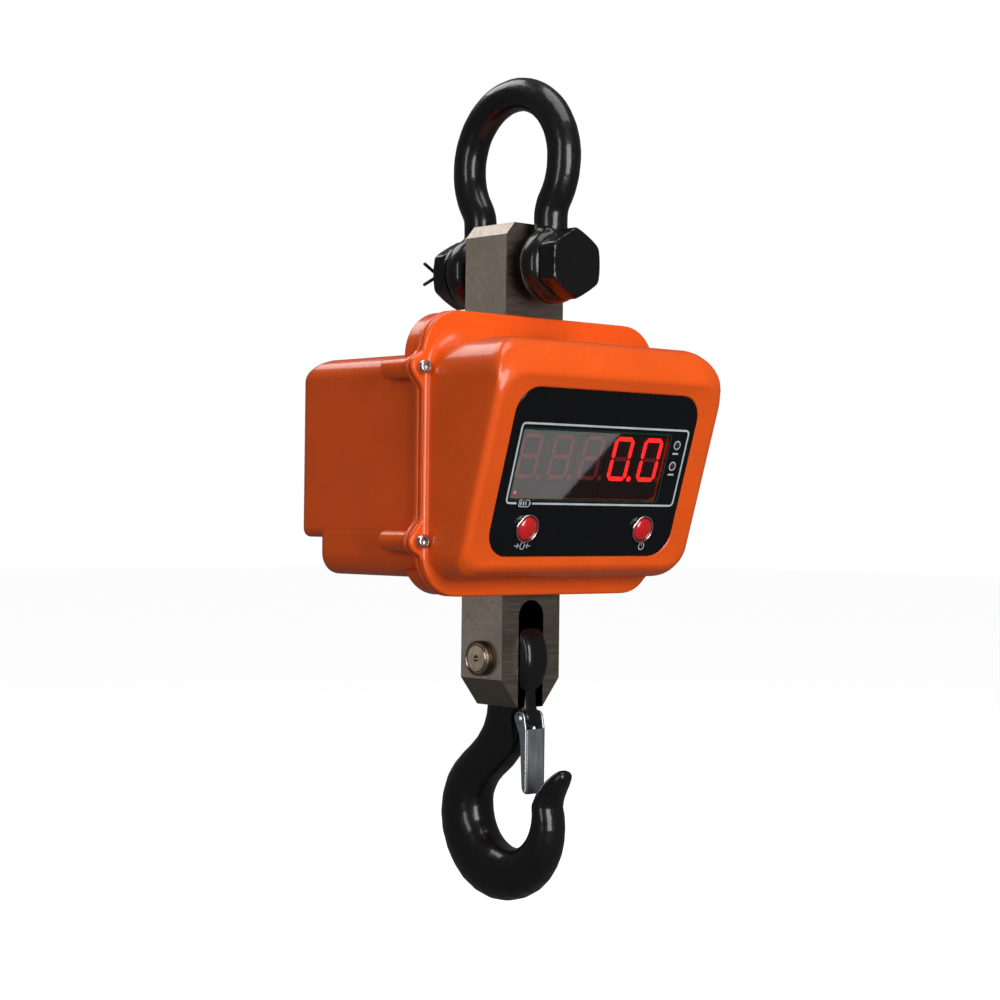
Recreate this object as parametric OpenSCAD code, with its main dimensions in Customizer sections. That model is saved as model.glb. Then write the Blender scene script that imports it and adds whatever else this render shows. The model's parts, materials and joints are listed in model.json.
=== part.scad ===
// Crane scale: a load bar hung from a bow shackle, a two-part die-cast housing
// with an LED readout, and an eye hook with a gate. Millimetres, +Z up, +X right,
// the readout faces -Y. The origin is the inside of the shackle's crown.

/* [Shackle] */
// Diameter of the bow's round bar
bow_bar_d = 21.5; // [18:0.5:23]
// Clear width inside the bow at its widest
bow_inside_w = 69; // [68:1:84]
// Distance from the crown's inside to the bolt's axis
bow_inside_len = 102.5; // [98:0.5:130]
// How far the bow's round crown runs on past its widest point, in degrees
bow_wrap = 35; // [30:1:40]
// Outer diameter of each eye
eye_d = 49; // [44:1:52]
// Width of each eye
eye_w = 17.5; // [16:0.5:26]
// Gap between each eye and the load bar
eye_clear = 7.5; // [1:0.5:9]
// Diameter of the shackle bolt
bolt_d = 25; // [20:0.5:28]
// Width across the flats of the bolt head and the nut
hex_af = 40; // [34:1:44]
// Thickness of the bolt head
bolt_head_t = 14; // [10:0.5:18]
// Thickness of the nut
nut_t = 12; // [8:0.5:16]

/* [Load bar] */
// Width of the load bar across the front
bar_w = 50; // [46:1:60]
// Depth of the load bar
bar_d = 39; // [36:1:44]
// Height of the bar's top above the bolt axis
bar_top_h = 27.5; // [24:0.5:32]
// Distance from the bolt axis to the hook pin's axis
pin_drop = 250; // [245:1:300]
// Width of the slot for the hook's eye
slot_w = 21.4; // [20:0.2:24]
// Diameter of the hook pin
pin_d = 19; // [16:0.5:20]

/* [Hook] */
// Radius of the bowl's inside
bowl_r = 24.5; // [22:0.5:28]
// Distance from the hook pin's axis to the bowl's centre
bowl_drop = 98; // [95:1:110]
// Mean radius of the bowl's outside
bowl_out_r = 52; // [48:0.5:58]
// How much the outside radius grows at the back and shrinks at the front
bowl_sway = 11.5; // [6:0.5:13]
// Outer radius of the hook's eye
hook_eye_r = 27.5; // [23:0.5:28]
// Greatest thickness of the hook
hook_t = 32; // [26:0.5:36]
// Length of the gate from its pivot
gate_len = 48; // [46:0.5:49]

/* [Housing] */
// Width of the housing's boxes
box_w = 194; // [180:2:230]
// How far the joint flange stands out beyond the boxes on each side
flange_over = 3.5; // [2:0.5:12]
// Height of the flange's top below the bolt axis
flange_top = 33; // [31:0.5:40]
// Height of the flange's bottom below the bolt axis
flange_bottom = 209; // [205:1:240]
// Height of the front box's top below the bolt axis
box_top = 51.5; // [48:0.5:56]
// Height of both boxes' bottom below the bolt axis
box_bottom = 197.5; // [194:0.5:200]
// Distance of the joint's front face in front of the bar's middle
flange_y = 30; // [29:0.5:32]
// Thickness of each cover's flange
flange_t = 4; // [3:0.5:5]
// Thickness of the joint gasket
gasket_t = 1; // [0.5:0.5:2]
// Depth from the bar's middle to the battery box's back
rear_y = 99; // [92:1:120]
// Depth from the bar's middle to the lower box's back
rear_low_y = 79; // [76:1:86]
// Wall thickness of the castings
wall = 3.5; // [2.5:0.5:5]

/* [Readout] */
// Tilt of the front face, leaning down
face_tilt = 17; // [12:1:20]
// Distance of the front face's top edge in front of the bar's middle
face_y = 97; // [92:1:110]
// Width of the front panel
panel_w = 157; // [150:1:160]
// Height of the front panel
panel_h = 106.5; // [100:0.5:110]
// Thickness of the front panel
panel_t = 1.5; // [1:0.5:3]
// Width of the display window
window_w = 127; // [120:1:130]
// Height of the display window
window_h = 41; // [38:1:46]
// Distance between the two buttons
button_pitch = 100; // [90:1:120]
// Diameter of a button's cap
button_d = 14.6; // [12:0.2:15]
// Outer diameter of a button's bezel
bezel_d = 18; // [17.6:0.2:22]
// Travel of a button
button_travel = 1.5; // [1:0.1:2]

/* [Hidden] */
$fn = 64;
eps = 0.01;

// Gap between faces that turn or slide on each other
run_gap = 0.3;
// Radial play of the hook on its pin and of the bar on the bolt
pin_play = 0.3;
bolt_z = -bow_inside_len;
pin_z = bolt_z - pin_drop;

// Shackle
bow_r = (bow_inside_w + bow_bar_d) / 2;
bow_cz = -bow_inside_w / 2;
eye_gap = bar_d + 2 * eye_clear;
leg_y = eye_gap / 2 + 6.5;
bow_back_r = (bow_r * cos(bow_wrap) - leg_y) / (1 - cos(bow_wrap));
bow_back_y = bow_r * cos(bow_wrap) - bow_back_r * (1 - cos(bow_wrap)) + bow_back_r;
bow_back_z = bow_cz - (bow_r + bow_back_r) * sin(bow_wrap);
eye_out = eye_gap / 2 + eye_w;
washer_t = 2;
cotter_y = eye_out + washer_t + nut_t + 4;
bolt_end = cotter_y + 5;
cotter_d = 4;

// Load bar
top_chamfer_w = 7;
top_chamfer_h = 8;
slot_above = 37.5;
ear_drop = 31;
taper_start = 13;
taper_w = 14.5;
ear_cuts = [[-1, 24, 6], [1, 18, 16]];
gauge_d = 32;
gauge_depth = 9;
gauge_cover_t = 2;
gauge_z = bolt_z - 125;
pin_head_d = pin_d + 3.7;
pin_head_t = 4.8;
ring_groove_w = 1.4;
ring_t = 1.2;

// Hook
hook_cz = pin_z - bowl_drop;
hook_cy = -4;
sway_angle = 34;
hook_eye_t = slot_w - 1.4;
gate_y = -18.5;
gate_z = pin_z - 38;
gate_pin_d = 4;
gate_t = 1.6;
gate_in_w = 13.8;
gate_front = 6.4;
gate_ear_r = 4.8;
gate_boss_t = gate_in_w - 0.8;

// Housing
z_flange_top = bolt_z - flange_top;
z_flange_bottom = bolt_z - flange_bottom;
z_box_top = bolt_z - box_top;
z_rear_top = bolt_z - box_top - 8;
z_bottom = bolt_z - box_bottom;
z_battery_bottom = bolt_z - 174;
y_joint = -flange_y + flange_t;
y_rear_flange = y_joint + gasket_t;
y_rear_back = y_rear_flange + flange_t;
flange_r = 28;
flange_w = box_w + 2 * flange_over;
screw_x = flange_w / 2 + 1.5;
screw_z_top = bolt_z - 69.5;
screw_z_low = bolt_z - 175;
ear_r = 8;
lug_r = 6.5;
lug_l = 24;
screw_d = 5;
screw_head_d = 8.5;
screw_head_h = 5;
rear_edge_r = 20;
rear_low_r = 6;
hump_y = -9;
flange_land = 10;
collar_w = bar_w + 26;
collar_y = bar_d / 2 + 9;
seal_t = 3;
seal_front = 1;

// Front face and what sits on it
face_z = bolt_z - 71;
face_w = box_w - 2.4;
face_h = 127;
face_top_r = 19;
face_low_r = 15;
side_edge = 3.5;
top_edge = 16;
low_edge = 7;
panel_top = 11.5;
panel_r = 17;
window_x = -6;
window_top = 39;
window_r = 2;
face_wall = wall + panel_t;
button_v = 99.5;
body_d = bezel_d - 1.4;
bezel_bore = button_d + 2 * run_gap;
bezel_h = 2.2;
body_l = 15;
digit_n = 5;
digit_pitch = window_w / digit_n;
digit_t = 7.5;
board_t = 1.6;
display_back = face_wall + 9;
main_back = display_back + 18;
board_w = 140;
board_h = 54;
board_hole_x = 64;
board_hole_y = 23.5;
lamp_d = 3;
lamps = [[65.5, 43.8], [65.5, 57.5]];

// Battery and frame plate
plate_t = 3;
plate_w = 172;
plate_h = 96;
plate_z = bolt_z - 121;
bar_hole_z = 34;
boss_x = 80;
boss_z = 42;
boss_d = 12;
battery_w = 100;
battery_h = 70;
battery_d = 47;
pad_t = 3;
battery_y = bar_d / 2 + plate_t + pad_t;
strap_t = 1.5;
strap_w = 20;
strap_foot = 15;
door_w = 128;
door_h = 90;
door_t = 2.5;
door_gap_w = 112;
door_gap_h = 74;
door_edge = 4;
door_z = bolt_z - 116.5;
socket_x = 30;
socket_y = 44;

// Points of a rectangle with round corners: X, Z and the way each point faces, from the top right round
function corner(cx, cz, r, a0, n) = [for (i = [0 : n]) let (a = a0 + 90 * i / n)
    [cx + r * cos(a), cz + r * sin(a), a]];
function round_box(hw, zt, zb, rt, rb, n) = concat(
    corner(hw - rt, zt - rt, rt, 0, n),
    corner(-hw + rt, zt - rt, rt, 90, n),
    corner(-hw + rb, zb + rb, rb, 180, n),
    corner(hw - rb, zb + rb, rb, 270, n));
// The same outline laid on a plane that passes y0 at the height z0 and leans back below it
function ring(outline, y0, z0, lean) = [for (p = outline) [p[0], y0 + (z0 - p[1]) * tan(lean), p[1]]];

// A closed skin through rings with the same number of points
module loft(rings) {
    n = len(rings[0]);
    m = len(rings);
    points = [for (r = rings) for (p = r) p];
    sides = [for (i = [0 : m - 2]) for (j = [0 : n - 1]) let (a = i * n + j, b = i * n + (j + 1) % n)
        each [[a, b + n, b], [a, a + n, b + n]]];
    ends = [[for (j = [0 : n - 1]) j], [for (j = [0 : n - 1]) (m - 1) * n + n - 1 - j]];
    polyhedron(points, concat([ends[0]], sides, [ends[1]]));
}

module plate_xz(w, zt, zb, r, y0, y1) {
    translate([0, y1, 0]) rotate([90, 0, 0]) linear_extrude(y1 - y0) translate([0, (zt + zb) / 2])
        round_rect(w, zt - zb, r);
}

module round_rect(w, h, r) {
    union() {
        square([w - 2 * r, h], center = true);
        square([w, h - 2 * r], center = true);
        for (sx = [-1, 1], sy = [-1, 1])
            translate([sx * (w / 2 - r), sy * (h / 2 - r)]) circle(r);
    }
}

module along_x(d, x0, x1) translate([x0, 0, 0]) rotate([0, 90, 0]) cylinder(d = d, h = x1 - x0);
module along_y(d, y0, y1) translate([0, y1, 0]) rotate([90, 0, 0]) cylinder(d = d, h = y1 - y0);
module at_screws() for (sx = [-1, 1], z = [screw_z_top, screw_z_low]) translate([sx * screw_x, 0, z]) children();
// The front face's own frame: X right, Y up the slope from the face's top edge, Z out of the face
module on_face() translate([0, -face_y, face_z]) rotate([90 + face_tilt, 0, 0]) children();
module at_bar_holes() for (sz = [-1, 1]) translate([0, 0, plate_z + sz * bar_hole_z]) children();
module at_bosses() for (sx = [-1, 1], sz = [-1, 1]) translate([sx * boss_x, 0, plate_z + sz * boss_z]) children();
module at_door_screws() for (sx = [-1, 1], sz = [-1, 1])
    translate([sx * (door_w / 2 - door_edge), 0, door_z + sz * (door_h / 2 - door_edge)]) children();
module at_buttons() on_face() for (sx = [-1, 1]) translate([sx * button_pitch / 2, -button_v, 0]) children();
module at_board_holes() on_face() for (sx = [-1, 1], sy = [-1, 1])
    translate([window_x + sx * board_hole_x, -window_top - window_h / 2 + sy * board_hole_y, 0]) children();

// Stations along the bow's bar, from one eye over the crown to the other: Y, Z, half width, half thickness
bar_r = bow_bar_d / 2;
leg_stations = [for (a = [0 : bow_wrap / 4 : bow_wrap])
    [-bow_back_y + bow_back_r * cos(a), bow_back_z + bow_back_r * sin(a), bar_r, bar_r]];
crown_stations = [for (i = [1 : 26]) let (a = 180 + bow_wrap - (180 + 2 * bow_wrap) * i / 27)
    [bow_r * cos(a), bow_cz + bow_r * sin(a), bar_r, bar_r]];
half_bow = concat(
    [[-leg_y - 1.5, bolt_z, bar_r - 2, bar_r], [-leg_y, bow_back_z - 8, bar_r, bar_r]],
    leg_stations);
function flip_y(s) = [for (i = [len(s) - 1 : -1 : 0]) [-s[i][0], s[i][1], s[i][2], s[i][3]]];
bow_stations = concat(half_bow, crown_stations, flip_y(half_bow));

module shackle_bow() color("#1b1b1d") difference() {
    union() {
        loft([for (i = [0 : len(bow_stations) - 1]) tube_ring(bow_stations, i, 1)]);
        for (side = [0, 1]) mirror([0, side, 0]) translate([0, 0, bolt_z]) along_y(eye_d, eye_gap / 2, eye_out);
    }
    translate([0, 0, bolt_z]) along_y(bolt_d + 0.1, -eye_out - 1, eye_out + 1);
}

module hex_prism(af, y0, y1) translate([0, y1, 0]) rotate([90, 0, 0]) rotate([0, 0, 90])
    cylinder(d = af / cos(30), h = y1 - y0, $fn = 6);

module shackle_bolt() color("#1b1b1d") translate([0, 0, bolt_z]) difference() {
    union() {
        along_y(bolt_d, -eye_out, bolt_end);
        intersection() {
            hex_prism(hex_af, -eye_out - bolt_head_t, -eye_out);
            translate([0, -eye_out, 0]) rotate([90, 0, 0])
                cylinder(d1 = hex_af * 1.5, d2 = hex_af * 1.04, h = bolt_head_t);
        }
    }
    translate([0, cotter_y, 0]) along_x(cotter_d + 0.2, -bolt_d, bolt_d);
}

module shackle_nut() color("#1b1b1d") translate([0, 0, bolt_z]) difference() {
    intersection() {
        hex_prism(hex_af, eye_out + washer_t, eye_out + washer_t + nut_t);
        translate([0, eye_out + washer_t + nut_t, 0]) rotate([90, 0, 0])
            cylinder(d1 = hex_af * 1.05, d2 = hex_af * 1.4, h = nut_t);
    }
    along_y(bolt_d + 0.1, eye_out, bolt_end);
}

module shackle_washer() color("#1b1b1d") translate([0, 0, bolt_z]) difference() {
    along_y(hex_af + 3, eye_out, eye_out + washer_t);
    along_y(bolt_d + 0.1, eye_out - 1, eye_out + washer_t + 1);
}

// A split pin whose two legs are bent apart past the bolt
module shackle_cotter() color("#2a2a2c") translate([0, cotter_y, bolt_z]) {
    along_x(cotter_d, -bolt_d / 2 - 1, bolt_d / 2 + 2);
    translate([bolt_d / 2 + 5, 0, 0]) rotate([90, 0, 0]) rotate_extrude() translate([3.2, 0]) circle(d = 2.4);
    for (side = [-1, 1]) translate([-bolt_d / 2 - 0.5, 0, side * 0.8]) rotate([0, -90 + side * 30, 0]) {
        cylinder(d = 2.2, h = 12);
        translate([0, 0, 12]) sphere(d = 2.2);
    }
}

module load_bar() color("#6f6a62") difference() {
    translate([-bar_w / 2, -bar_d / 2, pin_z - ear_drop])
        cube([bar_w, bar_d, bolt_z + bar_top_h - pin_z + ear_drop]);
    // chamfers along the two upper edges
    for (side = [-1, 1]) translate([side * bar_w / 2, bar_d, bolt_z + bar_top_h]) rotate([90, 0, 0])
        linear_extrude(2 * bar_d)
            polygon([[0, 1], [0, -top_chamfer_h], [-side * top_chamfer_w, 0], [-side * top_chamfer_w, 1]]);
    // tapered foot, seen from the front and from the side (side, start below the pin, depth)
    for (side = [-1, 1]) translate([side * bar_w / 2, bar_d, pin_z]) rotate([90, 0, 0])
        linear_extrude(2 * bar_d) polygon([[side, -taper_start], [0, -taper_start], [-side * taper_w, -ear_drop],
            [-side * taper_w, -ear_drop - 1], [side, -ear_drop - 1]]);
    for (c = ear_cuts) translate([-bar_w, c[0] * bar_d / 2, pin_z]) rotate([90, 0, 90])
        linear_extrude(2 * bar_w) polygon([[c[0], -c[1]], [0, -c[1]], [-c[0] * c[2], -ear_drop],
            [-c[0] * c[2], -ear_drop - 1], [c[0], -ear_drop - 1]]);
    // slot for the hook's eye, round at its top
    translate([-slot_w / 2, -bar_d, pin_z - ear_drop - 1])
        cube([slot_w, 2 * bar_d, ear_drop + 1 + slot_above - slot_w / 2]);
    translate([0, 0, pin_z + slot_above - slot_w / 2]) along_y(slot_w, -bar_d, bar_d);
    // bores for the shackle bolt and the hook pin
    translate([0, 0, bolt_z]) along_y(bolt_d + 2 * pin_play, -bar_d, bar_d);
    translate([0, 0, pin_z]) along_x(pin_d + 0.1, -bar_w, bar_w);
    // gauge pockets in both sides
    for (side = [0, 1]) mirror([side, 0, 0]) translate([0, 0, gauge_z])
        along_x(gauge_d, bar_w / 2 - gauge_depth, bar_w / 2 + 1);
    // tapped holes for the frame plate's screws
    at_bar_holes() along_y(6, bar_d / 2 - 14, bar_d);
}

module gauge_covers() color("#8d8d8d") for (side = [0, 1]) mirror([side, 0, 0]) translate([0, 0, gauge_z])
    along_x(gauge_d - 0.1, bar_w / 2 - gauge_cover_t, bar_w / 2);

module hook_pin() color("#77736c") translate([0, 0, pin_z]) difference() {
    union() {
        along_x(pin_d, -bar_w / 2, bar_w / 2 + 4);
        translate([-bar_w / 2, 0, 0]) rotate([0, -90, 0]) {
            cylinder(d = pin_head_d, h = pin_head_t - 1);
            translate([0, 0, pin_head_t - 1]) cylinder(d1 = pin_head_d, d2 = pin_head_d - 2, h = 1);
        }
    }
    difference() {
        along_x(pin_d + 4, bar_w / 2 + 0.6, bar_w / 2 + 0.6 + ring_groove_w);
        along_x(pin_d - 1.6, bar_w / 2, bar_w / 2 + 4);
    }
}

module pin_retainer() color("#3a3a3a") translate([0, 0, pin_z]) difference() {
    along_x(pin_d + 7, bar_w / 2 + 0.7, bar_w / 2 + 0.7 + ring_t);
    along_x(pin_d - 1.4, bar_w / 2, bar_w / 2 + 4);
    translate([bar_w / 2, -3, -pin_d]) cube([4, 6, pin_d]);
}

// Outside radius of the hook's bowl at an angle round its centre
function bowl_out(a) = bowl_out_r + bowl_sway * cos(a + sway_angle);
// Inside radius, a little wider at the back
function bowl_in(a) = bowl_r + 2 * pow(max(cos(a), 0), 2);
// Stations along the hook from the neck to the tip: Y, Z, half width, half thickness
neck_stations = [
    [0, pin_z - 9, 22, 8.5], [-0.3, pin_z - 20, 19.6, 9], [-2.2, pin_z - 31, 18, 9.4],
    [-3, pin_z - 42, 17, 9.8], [3.2, pin_z - 53, 17, 11]
];
bowl_from = 62;
bowl_to = -190;
bowl_steps = 22;
bowl_stations = [for (i = [0 : bowl_steps]) let (a = bowl_from + (bowl_to - bowl_from) * i / bowl_steps,
    r = (bowl_out(a) + bowl_in(a)) / 2, w = (bowl_out(a) - bowl_in(a)) / 2)
    [hook_cy + r * cos(a), hook_cz + r * sin(a), w, hook_t / 2 * (0.4 + 0.6 * w / 18.5)]];
tip_start = bowl_stations[bowl_steps];
tip_stations = [
    tip_start + [-2.6, 6.4, -0.6, -0.5], tip_start + [-7.6, 13, -1.6, -1.2],
    tip_start + [-12.8, 18.4, -2.8, -2.2], tip_start + [-16, 21.4, -4.2, -4],
    tip_start + [-17.4, 22.6, -6.6, -7]
];
hook_stations = concat(neck_stations, bowl_stations, tip_stations);
section_n = 20;
function power_sign(v, p) = sign(v) * pow(abs(v), p);
function tube_ring(s, i, soft) = let (
    last = len(s) - 1, a = s[max(i - 1, 0)], b = s[min(i + 1, last)],
    len_ab = norm([b[0] - a[0], b[1] - a[1]]),
    ty = (b[0] - a[0]) / len_ab, tz = (b[1] - a[1]) / len_ab, c = s[i])
    [for (k = [0 : section_n - 1]) let (t = 360 * k / section_n,
        u = c[2] * power_sign(cos(t), soft), x = c[3] * power_sign(sin(t), soft))
        [x, c[0] - tz * u, c[1] + ty * u]];

module hook() color("#141416") difference() {
    union() {
        loft([for (i = [0 : len(hook_stations) - 1]) tube_ring(hook_stations, i, 0.85)]);
        // the eye, a thick ring with rounded shoulders
        translate([0, 0, pin_z]) rotate([0, 90, 0]) rotate_extrude() polygon([
            [pin_d / 2 - 1, -hook_eye_t / 2 + 1], [hook_eye_r - 5, -hook_eye_t / 2],
            [hook_eye_r - 1.5, -hook_eye_t / 2 + 3.5],
            [hook_eye_r, 0], [hook_eye_r - 1.5, hook_eye_t / 2 - 3.5], [hook_eye_r - 5, hook_eye_t / 2],
            [pin_d / 2 - 1, hook_eye_t / 2 - 1]]);
        // boss that carries the gate
        translate([0, gate_y, gate_z]) along_x(11, -gate_boss_t / 2, gate_boss_t / 2);
    }
    translate([0, 0, pin_z]) along_x(pin_d + 2 * pin_play, -hook_t, hook_t);
    translate([0, gate_y, gate_z]) along_x(gate_pin_d + 0.05, -hook_t, hook_t);
    // flats beside the boss, room for the gate's ears and sides to swing
    for (side = [0, 1]) mirror([side, 0, 0]) translate([gate_boss_t / 2, gate_y, gate_z])
        rotate([0, 90, 0]) linear_extrude(hook_t) hull() {
            circle(gate_ear_r + 2.5);
            translate([12.5, 2.4]) circle(5);
        }
}

module gate() color("#a9b3ba") difference() {
    union() {
        for (side = [0, 1]) mirror([side, 0, 0]) translate([gate_in_w / 2, gate_y, gate_z]) rotate([0, 90, 0]) {
            cylinder(r = gate_ear_r, h = gate_t);
            linear_extrude(gate_t) polygon([
                [0, gate_ear_r - 0.2], [5, 2.6], [10, 0], [18, -1], [gate_len - 1, -2.8],
                [gate_len - 1, -gate_front], [7, -gate_front], [0, -gate_ear_r + 0.2]]);
        }
        translate([-gate_in_w / 2 - gate_t, gate_y - gate_front - eps, gate_z - gate_len])
            cube([gate_in_w + 2 * gate_t, gate_t, gate_len - 7]);
    }
    translate([0, gate_y, gate_z]) along_x(gate_pin_d + 0.2, -gate_in_w, gate_in_w);
}

module gate_pin() color("#9aa3aa") translate([0, gate_y, gate_z]) {
    along_x(gate_pin_d, -gate_in_w / 2 - gate_t - 0.8, gate_in_w / 2 + gate_t + 0.8);
    for (side = [0, 1]) mirror([side, 0, 0]) translate([gate_in_w / 2 + gate_t + 0.4, 0, 0])
        rotate([0, 90, 0]) cylinder(d1 = 6.4, d2 = 4.6, h = 1.3);
}

// Outline of the joint: a rounded plate with a round ear at each screw
module flange_outline() {
    translate([0, (z_flange_top + z_flange_bottom) / 2])
        round_rect(flange_w, z_flange_top - z_flange_bottom, flange_r);
    for (sx = [-1, 1], z = [screw_z_top, screw_z_low]) translate([sx * screw_x, z]) circle(ear_r);
}

module flange(y0, y1) translate([0, y1, 0]) rotate([90, 0, 0]) linear_extrude(y1 - y0) flange_outline();

front_outline = round_box(box_w / 2, z_box_top, z_bottom, 24, 16, 8);
front_inner = round_box(box_w / 2 - wall, z_box_top - wall, z_bottom + wall, 21, 13, 8);
face_low_z = face_z - face_h * cos(face_tilt);
face_outline = round_box(face_w / 2, face_z, face_low_z, face_top_r, face_low_r, 8);
face_inner = round_box(face_w / 2 - wall, face_z + 4, face_low_z + wall, face_top_r, face_low_r - 2, 8);
// How far behind the face's plane the box's outer edge runs, at a point of its outline
function edge_depth(p) = side_edge + (top_edge - side_edge) * pow(max(sin(p[2]), 0), 2)
    + (low_edge - side_edge) * pow(max(-sin(p[2]), 0), 2);
function edge_ring(outline, back) = [for (p = outline)
    [p[0], -face_y + (face_z - p[1]) * tan(face_tilt) + edge_depth(p) + back, p[1]]];

module front_cover() color("#e0561a") difference() {
    union() {
        loft([ring(front_outline, -flange_y, 0, 0), edge_ring(front_outline, 0),
            ring(face_outline, -face_y, face_z, face_tilt)]);
        flange(-flange_y, -flange_y + flange_t);
    }
    // the hollow inside
    loft([ring(front_inner, -flange_y + flange_t + 1, 0, 0), edge_ring(front_inner, wall + 1),
        ring(face_inner, -face_y + face_wall / cos(face_tilt), face_z, face_tilt)]);
    // seat of the panel, window, buttons and lamps
    on_face() {
        translate([0, -panel_top - panel_h / 2, -panel_t]) linear_extrude(panel_t + 2)
            round_rect(panel_w, panel_h, panel_r);
        translate([window_x, -window_top - window_h / 2, -face_wall - 3]) linear_extrude(face_wall + 3)
            round_rect(window_w, window_h, window_r);
        for (p = lamps) translate([p[0], -p[1], -face_wall - 3]) cylinder(d = lamp_d + 0.2, h = face_wall + 4);
    }
    at_buttons() translate([0, 0, -face_wall - 3]) cylinder(d = body_d + 0.2, h = face_wall + 4);
    at_screws() along_y(screw_d + 0.5, -flange_y - 1, 0);
}

// Side view of the rear box: deep where the battery sits, stepped in below it
module rear_profile(inset, y0) {
    top = z_rear_top - inset;
    low = z_bottom + inset;
    back = rear_y - inset;
    back_low = rear_low_y - inset;
    step = z_battery_bottom + inset;
    translate([y0, step]) square([back - rear_edge_r - y0, top - step]);
    translate([y0, step]) square([back - y0, top - step - rear_edge_r]);
    translate([back - rear_edge_r, top - rear_edge_r]) circle(rear_edge_r);
    translate([y0, low]) square([back_low - rear_low_r - y0, step - low + 5]);
    translate([y0, low + rear_low_r]) square([back_low - y0, step - low]);
    translate([back_low - rear_low_r, low + rear_low_r]) circle(rear_low_r);
}

module rear_shell(inset, y0) intersection() {
    translate([-box_w, 0, 0]) rotate([90, 0, 90]) linear_extrude(2 * box_w) rear_profile(inset, y0);
    plate_xz(box_w - 2 * inset, z_rear_top - inset, z_bottom + inset, 14, y0 - 1, rear_y + 1);
    translate([0, -inset, z_flange_bottom]) linear_extrude(flange_bottom)
        round_rect(box_w - 2 * inset, 2 * rear_y, 8);
}

// Above and below the rear box the flange runs on backwards
module deep_flange() intersection() {
    plate_xz(flange_w - 1.6, z_flange_top - 0.8, z_flange_bottom + 0.8, flange_r - 0.8,
        y_rear_back - eps, hump_y);
    union() {
        translate([-flange_w, y_rear_back - 1, z_rear_top - 4])
            cube([2 * flange_w, 40, 60]);
        translate([-flange_w, y_rear_back - 1, z_flange_bottom])
            cube([2 * flange_w, 40, z_bottom - z_flange_bottom + 5]);
    }
}

module rear_cover() color("#e0561a") difference() {
    union() {
        difference() {
            union() {
                rear_shell(0, y_rear_flange);
                flange(y_rear_flange, y_rear_back);
                deep_flange();
                // raised collar round the bar
                plate_xz(collar_w, z_flange_top - 4, z_rear_top - 20, 10, y_rear_back - eps, collar_y);
                at_screws() along_y(2 * lug_r, y_rear_back - eps, y_rear_back + lug_l);
            }
            rear_shell(wall, y_rear_flange - 1);
            plate_xz(collar_w - 2 * wall, z_flange_top - 4 - wall, z_rear_top - 30, 7,
                y_rear_flange - 1, collar_y - wall);
            // hollow of the deeper top
            plate_xz(flange_w - 2 * flange_land, z_flange_top - flange_land, z_rear_top - 12,
                flange_r - flange_land, y_rear_flange - 1, hump_y - wall);
        }
        // bosses for the frame plate
        at_bosses()
            along_y(boss_d, bar_d / 2 + plate_t, rear_y - wall / 2);
    }
    at_bosses() along_y(4.2, bar_d / 2, bar_d / 2 + plate_t + 20);
    // ways through for the bar at the top and the bottom
    translate([-bar_w / 2 - seal_t, -bar_d / 2 - seal_t, z_rear_top - 40])
        cube([bar_w + 2 * seal_t, bar_d + 2 * seal_t, 90]);
    translate([-bar_w / 2 - seal_t, -bar_d / 2 - seal_t, z_flange_bottom - 1])
        cube([bar_w + 2 * seal_t, bar_d + 2 * seal_t, z_bottom - z_flange_bottom + 20]);
    at_screws() along_y(4.2, y_rear_flange - 1, y_rear_back + lug_l - 4);
    // opening behind the battery door
    plate_xz(door_gap_w, door_z + door_gap_h / 2, door_z - door_gap_h / 2, 4, rear_y - wall - 1, rear_y + 1);
    at_door_screws() along_y(3.3, rear_y - wall - 2, rear_y + 1);
    translate([socket_x, socket_y, z_bottom - 1]) cylinder(d = 10.2, h = wall + 8);
}

module cover_gasket() color("#222222") translate([0, y_rear_flange, 0]) rotate([90, 0, 0])
    linear_extrude(gasket_t) difference() {
        flange_outline();
        translate([0, (z_box_top + z_bottom) / 2])
            round_rect(box_w - 2 * wall, z_box_top - z_bottom - 2 * wall, 24);
        for (sx = [-1, 1], z = [screw_z_top, screw_z_low]) translate([sx * screw_x, z])
            circle(d = screw_d + 0.5);
    }

module cap_screw(d, head_d, head_h, length) {
    // stands along +Z, the head's underside at 0
    difference() {
        cylinder(d = head_d, h = head_h);
        translate([0, 0, head_h * 0.45]) cylinder(d = d * 0.9, h = head_h, $fn = 6);
    }
    translate([0, 0, -length]) cylinder(d = d, h = length + eps);
}

module cover_screws() color("#b8b8b8") at_screws() translate([0, -flange_y, 0]) rotate([90, 0, 0])
    cap_screw(4.1, screw_head_d, screw_head_h, 24);

module bar_seal(z0, z1) difference() {
    translate([-bar_w / 2 - seal_t, -bar_d / 2 - seal_front, z0])
        cube([bar_w + 2 * seal_t, bar_d + seal_front + seal_t, z1 - z0]);
    translate([-bar_w / 2, -bar_d / 2, z0 - 1]) cube([bar_w, bar_d, z1 - z0 + 2]);
}
module top_seal() color("#202020") bar_seal(z_flange_top - 10, z_flange_top - 4);
module bottom_seal() color("#202020") bar_seal(z_bottom, z_bottom + 6);

module frame_plate() color("#b9bec2") difference() {
    plate_xz(plate_w, plate_z + plate_h / 2, plate_z - plate_h / 2, 4, bar_d / 2, bar_d / 2 + plate_t);
    at_bar_holes() along_y(6.4, bar_d / 2 - 1, bar_d);
    at_bosses() along_y(4.4, bar_d / 2 - 1, bar_d);
}

module frame_screws() color("#a0a0a0") {
    at_bar_holes() translate([0, bar_d / 2 + plate_t, 0]) rotate([-90, 0, 0]) cap_screw(5.9, 10, 2.5, 14);
    at_bosses() translate([0, bar_d / 2, 0]) rotate([90, 0, 0]) cap_screw(4.1, 7, 4, 16);
}

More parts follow.
